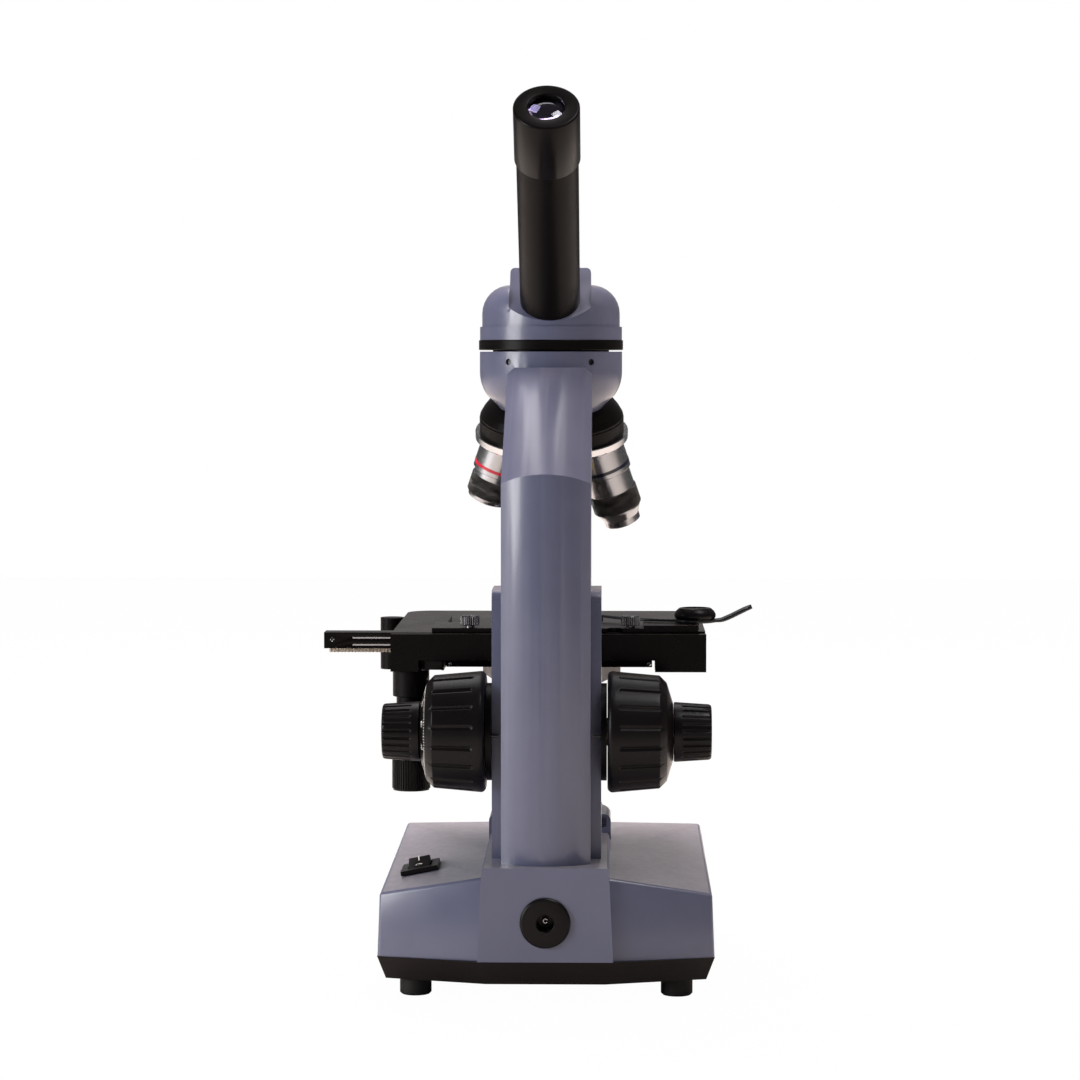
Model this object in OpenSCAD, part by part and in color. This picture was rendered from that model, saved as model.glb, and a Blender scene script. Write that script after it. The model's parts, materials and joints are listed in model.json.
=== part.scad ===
// Monocular compound microscope with a mechanical stage and a four-place nosepiece.
// The origin is the point of the table under the optical axis, +Z is up and the
// arm stands on the -Y side.

/* [Base] */
// Width of the base at its lower rim
base_w = 144; // [138:1:156]
// Reach of the base in front of the optical axis
base_front = 63; // [60:1:80]
// Reach of the base's outer rear corners behind the optical axis
base_back = 114; // [112:1:120]
// Reach of the base's middle behind the optical axis
base_mid_back = 125; // [123:1:126]
// Height of the seam between the grey shell and the black tray
rim_h = 17.5; // [15:0.5:20]
// Height of the top at the outer rear corners
base_side_h = 45; // [42:0.5:48]
// Height of the top beside the rear box
base_mid_h = 53; // [51:0.5:55]
// Height of the top at the outer front corners
base_far_h = 49.5; // [47:0.5:52]
// Wall of the grey shell
base_wall = 3; // [2:0.25:4]
// Width of the rear box and the spine at the seam
spine_w = 57.5; // [54:0.5:60]
// Height of the spine on which the arm stands
spine_h = 57.5; // [56:0.5:60]
// Reach of the rear box behind the optical axis
spine_back = 127; // [126:0.5:129]
// Height of the lamp housing's top
lamp_h = 66; // [64:0.5:70]
// Radius of the rubber feet
foot_r = 6.8; // [6:0.1:8]
// Height of the feet under the tray
foot_h = 7.5; // [6:0.5:9]
// Distance of the feet's centres from the middle
foot_x = 56; // [50:1:58]

/* [Power] */
// Length of the rocker switch's frame
switch_l = 21; // [20:0.5:22]
// Width of the rocker switch's frame
switch_w = 16.5; // [15:0.5:17]
// Radius of the supply socket's disc
jack_r = 10.75; // [10:0.25:12]
// Radius of the supply socket's mouth
jack_mouth_r = 3.75; // [3.5:0.05:4]
// Height of the supply socket's centre
jack_h = 34.3; // [32:0.1:37]

/* [Arm] */
// Width of the arm's narrow column
arm_w = 38; // [36:0.5:40]
// Reach of the arm's back behind the optical axis
arm_back = 122; // [121:0.5:123]
// Radius of the arm's crowned back
arm_crown_r = 29.3; // [26:0.1:34]
// How far the bend in the arm's back lies under the bowl's rim
bend_drop = 51.7; // [49:0.1:55]
// Rise of the arm's upper part, in degrees
arm_rise = 28; // [26:0.5:30]
// Width of the focus housing that stands in front of the column
housing_w = 47; // [45:0.5:49]
// Reach of the focus housing's rear ledge behind the optical axis
housing_back = 100; // [98:0.5:102]
// Distance of the arm's front face behind the optical axis
arm_front = 70; // [70:0.5:71]
// Height of the focus housing's top
housing_h = 173; // [168:1:178]

/* [Focus] */
// Distance of the focus axis behind the optical axis
focus_reach = 90; // [89.5:0.1:90.5]
// Height of the focus axis
focus_h = 111.2; // [109:0.1:113]
// Largest radius of the coarse knobs
coarse_r = 26.15; // [25:0.05:26.5]
// Length of a coarse knob's gripping part
coarse_l = 22.4; // [21:0.1:24]
// Radius of the fine knobs
fine_r = 12; // [11:0.1:13]
// Length of a fine knob
fine_l = 16.2; // [15:0.1:18]
// Radius of the hollow coarse shaft
coarse_shaft_r = 6; // [5.5:0.1:6.5]
// Radius of the fine shaft
fine_shaft_r = 3; // [2.6:0.1:3.4]

/* [Stage] */
// Width of the stage
stage_w = 139; // [136:1:144]
// Reach of the stage in front of the optical axis
stage_front = 70; // [68:1:76]
// Reach of the stage behind the optical axis
stage_back = 63; // [62:0.25:64]
// Height of the stage's top
stage_h = 151; // [150.5:0.1:151.5]
// Thickness of the upper stage plate
plate_t = 6.8; // [6.4:0.1:7.2]
// Height of the lower layer's underside
stage_under = 134.4; // [134:0.1:135]
// Corner radius at the stage's front
stage_corner_r = 12; // [8:0.5:16]
// Length of the cross bar
bar_l = 140; // [134:1:144]
// Width of the cross bar
bar_w = 11; // [10:0.25:11.5]
// Overhang of the cross bar past the stage's left side
bar_out = 29.7; // [26:0.1:33]
// Radius of the clip's knob
clip_knob_r = 9.8; // [8:0.1:10.5]
// Radius of the thumb screws' heads
thumb_r = 4.15; // [3.5:0.05:4.5]
// Distance of the stage drive's axis left of the optical axis
drive_x = 61; // [60.5:0.1:61.5]
// Distance of the stage drive's axis behind the optical axis
drive_back = 53; // [52.5:0.1:53.5]
// Radius of the knob that moves the stage to and fro
y_knob_r = 11; // [10:0.1:12]
// Radius of the knob that moves the slide sideways
x_knob_r = 8.5; // [8:0.1:9.5]

/* [Condenser] */
// Radius of the condenser's body
cond_r = 18.5; // [17.5:0.1:19]
// Height of the condenser's top lens
cond_top = 150.4; // [149.5:0.1:150.5]
// Radius of the filter disc
filter_r = 16; // [15:0.25:17]

/* [Nosepiece] */
// How far over the bowl's rim the optical axis meets the nosepiece's axis
meet_rise = 17.8; // [16.5:0.1:19.5]
// Tilt of the nosepiece's axis, in degrees
tilt = 18; // [17:0.25:19]
// Distance from the meeting point to the objectives' seats
seat_q = 67; // [66:0.25:68]
// Radius of the nosepiece's black band
band_r = 33.3; // [32:0.1:34]
// Radius of the nosepiece's silver ring
ring_r = 35.3; // [34.5:0.1:36]
// Radius of the objectives' barrels
barrel_r = 12; // [11.5:0.1:12.3]
// Radius of the objectives' mounting threads
thread_r = 10.16; // [9.9:0.02:10.3]

/* [Head] */
// Radius of the bowl at the arm's end
bowl_r = 32.5; // [31.5:0.1:33.5]
// Height of the bowl's top
bowl_h = 275.2; // [274:0.1:276]
// Radius of the black ring under the head
clamp_r = 32.9; // [32:0.1:34]
// Thickness of the black ring
clamp_t = 4.6; // [4:0.1:5.5]
// Radius of the head's flange
flange_r = 32.4; // [31.5:0.1:33.5]
// Radius of the head's dome
dome_r = 31.4; // [30.5:0.1:32.4]
// Width of the collar round the tube
collar_w = 36.5; // [34:0.5:39]
// Outer radius of the viewing tube
tube_r = 13.5; // [13.2:0.05:14]
// Distance along the tube's axis to its end
tube_end = 114.8; // [108:0.2:120]
// Outer radius of the eyepiece's cap
eye_r = 14.3; // [14.1:0.05:15]
// Length of the eyepiece's cap
eye_l = 31.2; // [28:0.2:34]
// Radius of the eyepiece's barrel
eye_barrel_r = 11.6; // [11.5:0.01:11.7]

/* [Hidden] */
$fn = 72;
// Overrun of cuts, gap between moving pieces, play of a running fit, small corner piece
over = 1;
gap = 0.3;
play = 0.06;
speck = 0.02;
cast_grey = "#747488";
black = "#1d1b1c";
silver = "#c9cacf";

// Base details
corner_r = 2;
base_inset = 1;
base_far_inset = 1.6;
base_far_mid_h = 50.6;
ridge_back = 60;
ridge_h = 54.5;
tray_inset = 3.5;
tray_floor = 2.5;
spine_taper = 1.85;
spine_bevel = 0.8;
spine_step = 2;
lamp_half_w = 27.6;
lamp_back = 24;
lamp_round = 3;
vent_h = 4.5;
vent_depth = 7;
vent_low = 60;
lamp_bore_r = 19;
foot_back = 105;
foot_front = 45;
foot_chamfer = 0.8;
foot_recess_r = 4;
foot_recess = 3;
foot_screw_r = 1.6;
foot_screw_head = 3.2;
foot_screw_t = 1.8;
tray_boss_r = 5;
tray_boss_h = 9;

// Power details
switch_in = 16.5;
switch_back = 75;
switch_z = 48.75;
switch_lean = -11.2;
frame_t = 2;
frame_rim = 1.6;
switch_depth = 14;
rocker_r = 11;
rocker_rise = 2.6;
rocker_tilt = 18;
jack_t = 1.8;
jack_depth = 11;
jack_body_r = 6;
pin_r = 1.05;
pin_back = 5;
fork_t = 0.5;
fork_w = 2;
board_w = 46;
board_l = 70;
board_t = 1.6;
board_h = 16;
post_r = 3;
sink_r = 17;
sink_h = 14;
led_r = 4;
led_h = 2.5;
collector_r = 15;
collector_t = 5;
lamp_ring_w = 4.6;
lamp_ring_t = 2.5;

// Arm details
housing_round = 5;
bend_y = arm_back;
arm_top_drop = 7.2;
throat_drop = 80.2;
throat_r = 24;
slot_low = 78;
slot_high = 188;
tail_w = 22;
tail_root = 28;
tail_t = 10;
rack_w = 10;
rack_room = 6.5;
gear_room_r = 9;
bowl_round = 9.2;
bowl_low_r = 25.4;
bowl_low_drop = 24.6;
neck_r = 26.5;
neck_depth = 7;
light_r = 11;
light_low_r = 5.5;
plane_t = 40.3;
flange_focus_r = 21;
bush_r = 9;
bush_l = 8;
knob_gap = 2.7;
screw_head_r = 1.7;
screw_head_t = 1.1;
screw_circle = 16.3;
flange_screws = 4;
set_screw_r = 1.5;
set_screw_l = 6;
set_screw_drop = 4.7;

// Focus details: the gear size is its module, the pitch diameter is module times teeth
focus_module = 1;
focus_teeth = 14;
y_module = 0.7;
y_teeth = 18;
x_module = 0.5;
x_teeth = 14;
cond_module = 0.8;
cond_teeth = 10;
pressure = 25;
tooth_play = 0.16;
// Shares of one knurl tooth's turn, and of its depth
knurl_shares = [[0, 0], [0.3, 0], [0.5, 1], [0.8, 1]];
tooth_share = 0.8;
root_share = 1.1;
coarse_end_r = 24.35;
coarse_bevel = 3.1;
cone_r = 12.15;
cone_l = 3.1;
groove_l = 16;
groove_r = 1.05;
coarse_grooves = 20;
fine_flutes = 22;
flute_r = 1;
flute_l = 11.5;
knob_round = 1.5;
slider_low = 84;
slider_high = 158;
slider_out = 3.5;
fine_tail_t = 2.5;
fine_tail_w = 14;
fine_tail_root = 18;

// Stage details
layer_gap = 0.4;
rail_t = 4.7;
rail_far = 45;
step_back = 13;
lower_half_w = 46;
lower_back = 40;
lower_front = 60;
strip_w = 8.7;
strip_clear_h = 139.6;
block_in = 47;
block_far = 43;
bar_near = 58;
bar_drop = 6.8;
rack_h = 2.4;
rack_t = 2;
bar_groove = 0.8;
bar_groove_h1 = 148.5;
bar_groove_h2 = 145.4;
slot_half_w = 14;
slot_back = 42;
slot_front = 17;
holder_left = 51.5;
holder_right = 66;
holder_far = 26;
holder_t = 2;
jaw_w = 5.5;
jaw_front = 12;
holder_step_x = 42;
holder_step_t = 3.3;
holder_notch_r = 3.4;
thumb_x_left = 34.8;
thumb_x_right = 36.1;
thumb_low = 154.2;
thumb_t = 4.3;
thumb_neck_r = 2;
thumb_teeth = 30;
clip_x = 65;
clip_back = 43;
clip_t = 5;
clip_edge = 3.2;
finger_x = 62.5;
finger_r = 41;
finger_w = 5;
finger_t = 1.4;
finger_foot = 3;
lever_reach = 75;
lever_tip = 90.5;
lever_w = 9;
lever_rise = 5.6;
lever_share = 0.4;
clip_pin_r = 2;
housing_drive_r = 8.1;
housing_drive_low = 122.7;
drive_neck_r = 6.5;
drive_neck_low = 119.5;
y_tube_r = 4;
x_shaft_r = 2;
y_knob_low = 97;
y_knob_high = 118.5;
x_knob_low = 81;
x_knob_high = 96.5;
y_gear_low = 135;
gear_t = 4;
x_gear_t = 2;
post_x = 75.1;
post_y = 33;
post_low = 126.6;
post_high = 150.7;
post_side_r = 5.6;
post_stud_r = 1.5;
post_stud_l = 6;

// Condenser details
bracket_half_w = 16;
bracket_low = 88;
bracket_front = 42;
arm_plate_low = 126;
arm_plate_half_w = 32;
arm_plate_front = 52;
cond_hole_r = 24;
cond_tail_w = 12;
cond_tail_root = 16;
carrier_low = 99;
carrier_high = 115;
tail_top = 124;
carrier_half_w = 13;
carrier_ring_w = 4;
cond_low = 96;
cond_shoulder = 126;
cone_top_r = 12.5;
cone_top = 143;
cond_tip_r = 11.3;
cond_lens_r = 8.5;
iris_low = 92.5;
iris_t = 3.2;
iris_lever_l = 16;
iris_lever_r = 1.6;
filter_low = 87.5;
filter_t = 3.6;
filter_rim = 3;
filter_pin_r = 2;
filter_pin_x = 23.5;
cond_shaft_back = 54;
cond_shaft_r = 2.5;
cond_shaft_h = 107;
cond_knob_r = 7.5;
cond_knob_in = 30;
cond_knob_l = 12;

// Nosepiece details, as distances along its axis from the meeting point
dome_end = 49.8;
// Shares of the dome's width and height at its two bends
dome_shares = [[0.45, 0.3], [0.75, 0.6]];
dome_top_r = 25.6;
band_start = 50.1;
ring_start = 56.3;
ring_end = 60.2;
shell_t = 4;
pivot_r = 4.5;
boss_r = 12.4;

// Head details
dome_round = 13;
dome_rise = 30.3;
flange_h = 6;
head_step = 0.7;
tube_root_rise = 1.8;
collar_face = 30.6;
collar_rise = 38;
collar_far = 8;
collar_round = 2;
shell_wall = 3.5;
tube_wall = 1.85;
tube_in = 12;
prism_w = 20;
eye_bevel = 2.6;
eye_hole_r = 8.6;
eye_recess = 3.5;
eye_barrel_l = 32;
eye_barrel_wall = 1.2;
eye_lens_t = 3.5;

// Worked-out values
bend_h = bowl_h - bend_drop;
meet_h = bowl_h + meet_rise;
arm_top = bowl_h - arm_top_drop;
throat_h = bowl_h - throat_drop;
bowl_low_h = bowl_h - bowl_low_drop;
set_screw_h = bowl_h - set_screw_drop;
dome_h = bowl_h + dome_rise;
tube_root_h = bowl_h + tube_root_rise;
collar_top = bowl_h + collar_rise;
switch_x = base_w / 2 - switch_in;
clamp_low = bowl_h + head_step;
flange_low = clamp_low + clamp_t;
flange_top = flange_low + flange_h;
plate_under = stage_h - plate_t;
lower_top = plate_under - layer_gap;
rail_low = plate_under - rail_t;
half_stage = stage_w / 2;
bar_top = stage_h + gap;
bar_low = bar_top - bar_drop - gap;
clip_low = bar_top + holder_step_t + gap + finger_t + speck;
bar_left = half_stage + bar_out;
bar_right = bar_l - bar_left;
rack_back = drive_back - x_module * x_teeth / 2;
cond_pitch_r = cond_module * cond_teeth / 2;
cond_tail_t = cond_shaft_back - cond_pitch_r - cond_module * (root_share + 1) - bracket_front;
arm_side = housing_w / 2;
knob_in = arm_side + knob_gap;
cone_in = knob_in + coarse_l;
fine_in = cone_in + coarse_bevel + cone_l;
fine_out = fine_in + fine_l;
slide_root = arm_front + tail_t;
spine_top_half = spine_w / 2 - spine_taper;
foot_places = [for (s = [-1, 1], y = [-foot_back, foot_front]) [s * foot_x, y]];
objective_turns = [-90, 0, 90, 180];
// Lengths of the four objectives: barrel, waist, grip, nose
lengths_4 = [14, 2.6, 9.3, 2.2];
lengths_10 = [16.5, 3.2, 9.3, 8.8];
lengths_40 = [14.2, 9, 9.3, 7.6];
lengths_100 = [15, 10, 9.3, 9.4];
objective_lengths = [lengths_4, lengths_10, lengths_40, lengths_100];
nose_radii = [10.2, 6.8, 8.4, 4.4];
band_t = 1.5;
band_out = 0.12;
band_back = 2.2;
grip_out = 11.4;
waist_r = 10.9;
grip_core = 9.4;
grip_teeth = 36;
grip_tooth = 0.45;
rim_t = 1.6;
lens_r_share = 0.45;
lens_proud = 0.25;

// Points of an arc in the plane
function arc(x, y, r, a0, a1, n = 8) =
    [for (i = [0 : n]) let (a = a0 + (a1 - a0) * i / n) [x + r * cos(a), y + r * sin(a)]];

// Box between two corners
module slab(x0, x1, y0, y1, z0, z1) {
    translate([x0, y0, z0]) cube([x1 - x0, y1 - y0, z1 - z0]);
}

// Upright round bar between two heights
module bar(r, z0, z1) {
    translate([0, 0, z0]) cylinder(r = r, h = z1 - z0);
}

// Round bar along X between two places
module cross_bar(r, x0, x1) {
    translate([x0, 0, 0]) rotate([0, 90, 0]) cylinder(r = r, h = x1 - x0);
}

// Revolved profile, given as radius and height
module spun(points) {
    rotate_extrude() polygon(points);
}

// Side profile given as (Y, Z), extruded across X about the middle
module side_profile(points, width) {
    rotate([90, 0, 90]) translate([0, 0, -width / 2]) linear_extrude(width) polygon(points);
}

// Half the angle of a gear tooth at radius r, along the involute
function inv(a) = tan(a) * 180 / PI - a;
function tooth_half(r, m, n) = let (rp = m * n / 2, rb = rp * cos(pressure))
    90 / n - tooth_play / 2 / rp * 180 / PI / 2 - inv(acos(min(1, rb / r))) + inv(pressure);
// Spur gear outline of module m with n teeth; a gap between two teeth points along +X
module gear(m, n, t) {
    rp = m * n / 2;
    r0 = rp - m * root_share;
    r1 = rp + m * tooth_share;
    rb = max(r0, rp * cos(pressure));
    radii = [r0, for (i = [0 : 4]) rb + (r1 - rb) * i / 4];
    linear_extrude(t) polygon([for (k = [0 : n - 1]) let (c = (k + 0.5) * 360 / n) each concat(
        [for (r = radii) let (h = tooth_half(max(r, rb), m, n)) [r * cos(c - h), r * sin(c - h)]],
        [for (i = [5 : -1 : 0]) let (r = radii[i], h = tooth_half(max(r, rb), m, n))
            [r * cos(c + h), r * sin(c + h)]])]);
}

// Rack along Y with its teeth towards +X, its pitch line on the Y axis and a tooth at Y = 0
module rack(m, n0, n1, back, t) {
    pitch = m * PI;
    half = (pitch / 2 - tooth_play / 2) / 2;
    lean = tan(pressure);
    tip = m * tooth_share;
    root = m * root_share;
    linear_extrude(t) polygon([
        [-back, (n0 - 0.5) * pitch],
        for (i = [n0 : n1]) each [
            [-root, i * pitch - half - root * lean], [tip, i * pitch - half + tip * lean],
            [tip, i * pitch + half - tip * lean], [-root, i * pitch + half + root * lean]],
        [-back, (n1 + 0.5) * pitch]]);
}

// Outline with n shallow teeth, for knurled grips
module knurl(r, depth, n, t) {
    linear_extrude(t) polygon([for (k = [0 : n - 1], p = knurl_shares)
        let (a = (k + p[0]) * 360 / n, q = r - depth * p[1]) [q * cos(a), q * sin(a)]]);
}

// Corner points of one half of the base's seam and top, moved inwards
function rim_points(in) = [[base_w / 2 - in, in - base_back], [spine_w / 2 - in, in - base_mid_back],
    [base_w / 2 - in, base_front - in]];
function top_points(in) = [[base_w / 2 - base_inset - in, in - base_back, base_side_h - in],
    [spine_w / 2 - in, in - base_mid_back, base_mid_h - in], [spine_w / 2 - in, -ridge_back,
        ridge_h - in],
    [base_w / 2 - base_far_inset - in, base_front - in, base_far_h - in],
    [0, base_front - in, base_far_mid_h - in]];

// The base's main form with rounded corners
module base_form() {
    r = corner_r;
    hull() for (s = [-1, 1]) {
        for (p = rim_points(r)) translate([s * p[0], p[1], rim_h]) cylinder(r = r, h = speck, $fn = 24);
        for (p = top_points(r)) translate([s * p[0], p[1], p[2]]) sphere(r = r, $fn = 16);
    }
}

// The room inside the base, with flat faces
module base_room() {
    hull() for (s = [-1, 1]) {
        for (p = rim_points(base_wall)) translate([s * p[0], p[1], rim_h - over]) cube(speck);
        for (p = top_points(base_wall)) translate([s * p[0], p[1], p[2]]) cube(speck);
    }
}

// Cross-section of the rear box and the spine, in (X, Z)
module spine_section(in) {
    a = spine_w / 2 - in;
    b = spine_top_half - in;
    h = spine_h - in;
    c = spine_bevel;
    polygon([[-a, rim_h - (in > 0 ? over : 0)], [a, rim_h - (in > 0 ? over : 0)], [b, h - c], [b - c, h],
        [c - b, h], [-b, h - c]]);
}

module spine_form(in) {
    rotate([90, 0, 0]) translate([0, 0, in]) linear_extrude(spine_back - 2 * in) spine_section(in);
}

// Place of the rocker switch on the left of the base's top
module switch_place() {
    translate([-switch_x, -switch_back, switch_z]) rotate([0, switch_lean, 0])
        children();
}

module base_shell() {
    color(cast_grey) difference() {
        union() {
            base_form();
            spine_form(0);
            lamp_housing();
        }
        base_room();
        spine_form(base_wall);
        bar(lamp_bore_r, rim_h, lamp_h + over);
        // Vent recess in the lamp housing's rear
        slab(spine_step - lamp_half_w, lamp_half_w - spine_step, -lamp_back - over,
            vent_depth - lamp_back,
            vent_low, vent_low + vent_h);
        // Socket hole
        translate([0, over + base_wall - spine_back, jack_h]) rotate([90, 0, 0])
            cylinder(r = jack_body_r + play, h = base_wall + 2 * over);
        switch_place() cube([switch_w - 2 * frame_rim, switch_l - 2 * frame_rim, 2 * switch_depth],
            center = true);
        switch_place() translate([0, 0, frame_t / 2]) cube([switch_w, switch_l, frame_t], center = true);
    }
}

// Lamp housing: a round front and a square rear, both with a rounded top edge
module lamp_housing() {
    r = lamp_round;
    a = lamp_half_w;
    spun(concat([[0, rim_h + base_wall], [a, rim_h + base_wall]], arc(a - r, lamp_h - r, r, 0, 90, 6),
        [[0, lamp_h]]));
    rotate([90, 0, 0]) linear_extrude(lamp_back) polygon(concat([[-a, spine_h - base_wall], [a,
        spine_h - base_wall]],
        arc(a - r, lamp_h - r, r, 0, 90, 6), arc(r - a, lamp_h - r, r, 90, 180, 6)));
}

// Plan of the base at its seam, moved inwards
module base_plan(in) {
    p = rim_points(in);
    polygon([p[0], p[2], [-p[2][0], p[2][1]], [-p[0][0], p[0][1]], [-p[1][0], p[1][1]], p[1]]);
}

// Flat plan of the tray, moved inwards, with the rear box's foot
module tray_plan(in) {
    base_plan(in);
    translate([in - spine_w / 2, in - spine_back]) square([spine_w - 2 * in, spine_back - 2 * in]);
}

module base_tray() {
    color(black) difference() {
        union() {
            difference() {
                hull() {
                    translate([0, 0, rim_h - speck]) linear_extrude(speck) tray_plan(0);
                    translate([0, 0, foot_h]) linear_extrude(speck) tray_plan(tray_inset);
                }
                translate([0, 0, foot_h + tray_floor])
                    linear_extrude(rim_h - foot_h) tray_plan(tray_inset + base_wall);
            }
            for (p = foot_places) translate(p) bar(tray_boss_r, foot_h + speck, foot_h + tray_boss_h);
        }
        for (p = foot_places) translate(p) bar(foot_screw_r, 0, foot_h + tray_boss_h + over);
    }
}

module feet() {
    color("#191716") for (p = foot_places) translate(p) difference() {
        spun([[foot_screw_r, 0], [foot_r - foot_chamfer, 0], [foot_r, foot_chamfer], [foot_r, foot_h],
            [foot_screw_r, foot_h]]);
        bar(foot_recess_r, -over, foot_recess);
    }
}

module foot_screws() {
    color(silver) for (p = foot_places) translate(p) {
        bar(foot_screw_head, foot_recess - foot_screw_t, foot_recess);
        bar(foot_screw_r - play, foot_recess - speck, foot_h + tray_boss_h);
    }
}

module switch_frame() {
    w = switch_w - 2 * frame_rim;
    l = switch_l - 2 * frame_rim;
    color(black) switch_place() difference() {
        union() {
            translate([0, 0, frame_t / 2]) cube([switch_w, switch_l, frame_t], center = true);
            translate([0, 0, -switch_depth / 2 + speck])
                cube([w - gap, l - gap, switch_depth], center = true);
        }
        translate([0, 0, frame_t]) cube([w - 2 * frame_rim, l - 2 * frame_rim, switch_depth],
            center = true);
    }
}

module switch_rocker() {
    w = switch_w - 4 * frame_rim - 2 * gap;
    color("#121212") switch_place() translate([0, 0, frame_t - rocker_rise]) rotate([rocker_tilt, 0, 0])
        rotate([90, 0, 90]) translate([0, 0, -w / 2]) linear_extrude(w) difference() {
            intersection() {
                circle(r = switch_l / 2 - 2 * frame_rim - gap);
                translate([-rocker_r, -frame_rim]) square([2 * rocker_r, rocker_rise + 2 * frame_rim]);
            }
            translate([0, rocker_r + rocker_rise + frame_rim]) circle(r = rocker_r);
        }
}

module dc_jack() {
    color(black) translate([0, -spine_back, jack_h]) rotate([90, 0, 0]) spun([
        [jack_mouth_r, jack_t], [jack_r - foot_chamfer, jack_t], [jack_r, jack_t - foot_chamfer],
            [jack_r, 0],
        [jack_body_r, 0], [jack_body_r, -jack_depth], [pin_r, -jack_depth], [pin_r, frame_t - jack_depth],
        [jack_mouth_r, frame_t - jack_depth]]);
}

module dc_jack_contacts() {
    color(silver) translate([0, -spine_back, jack_h]) rotate([90, 0, 0]) {
        bar(pin_r, -jack_depth - frame_t, jack_t - pin_back);
        slab(-fork_w / 2, fork_w / 2, jack_mouth_r - fork_t - gap, jack_mouth_r - gap,
            frame_t - jack_depth, -pin_back);
    }
}

module lamp_board() {
    color("#2d6b45") slab(-board_w / 2, board_w / 2, -board_l - lamp_bore_r, -lamp_bore_r, board_h,
        board_h + board_t);
    color("#2d6b45") for (x = [-1, 1], y = [0, 1])
        translate([x * (board_w / 2 - post_r), -lamp_bore_r - post_r - y * (board_l - 2 * post_r), 0])
            bar(post_r, foot_h + tray_floor, board_h);
    color(silver) {
        bar(sink_r, foot_h + tray_floor, foot_h + tray_floor + sink_h);
        bar(led_r, foot_h + tray_floor + sink_h, foot_h + tray_floor + sink_h + led_h);
    }
}

module collector_lens() {
    h = lamp_h - collector_t;
    color("#dfe8ee") spun(concat([[0, h], [collector_r, h], [collector_r, lamp_h - collector_t / 2]],
        [for (i = [1 : 8]) [collector_r * cos(90 * i / 8),
            lamp_h - collector_t / 2 + collector_t / 2 * sin(90 * i / 8)]]));
}

module lamp_ring() {
    color(black) spun([[lamp_bore_r - lamp_ring_w + gap, lamp_h],
        [lamp_bore_r + lamp_ring_w - foot_chamfer,
        lamp_h + lamp_ring_t], [lamp_bore_r + lamp_ring_w, lamp_h + lamp_ring_t - foot_chamfer],
        [lamp_bore_r + lamp_ring_w, lamp_h], [lamp_bore_r, lamp_h], [lamp_bore_r,
            lamp_h - 2 * collector_t],
        [collector_r - lamp_ring_w / 2, lamp_h - 2 * collector_t], [collector_r - lamp_ring_w / 2,
            lamp_h - collector_t],
        [collector_r, lamp_h - collector_t], [collector_r, lamp_h]]);
}

// Crowned section of the arm, in plan, with its crown at the back
module arm_section(back, depth) {
    intersection() {
        translate([0, arm_crown_r - back]) circle(r = arm_crown_r + speck);
        translate([-arm_w / 2, -back - over]) square([arm_w, depth]);
    }
    translate([-arm_w / 2, -back + arm_crown_r - sqrt(pow(arm_crown_r, 2) - pow(arm_w / 2, 2))])
        square([arm_w, depth]);
}

// Half-space beyond the nosepiece's seat on the bowl
module under_nosepiece(t) {
    nosepiece_place() translate([0, 0, -t - bowl_h])
        cube([2 * bowl_h, 2 * bowl_h, 2 * bowl_h], center = true);
}

// The nosepiece's own frame: its axis runs down from the meeting point
module nosepiece_place() {
    translate([0, 0, meet_h]) rotate([tilt, 0, 0]) children();
}

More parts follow.
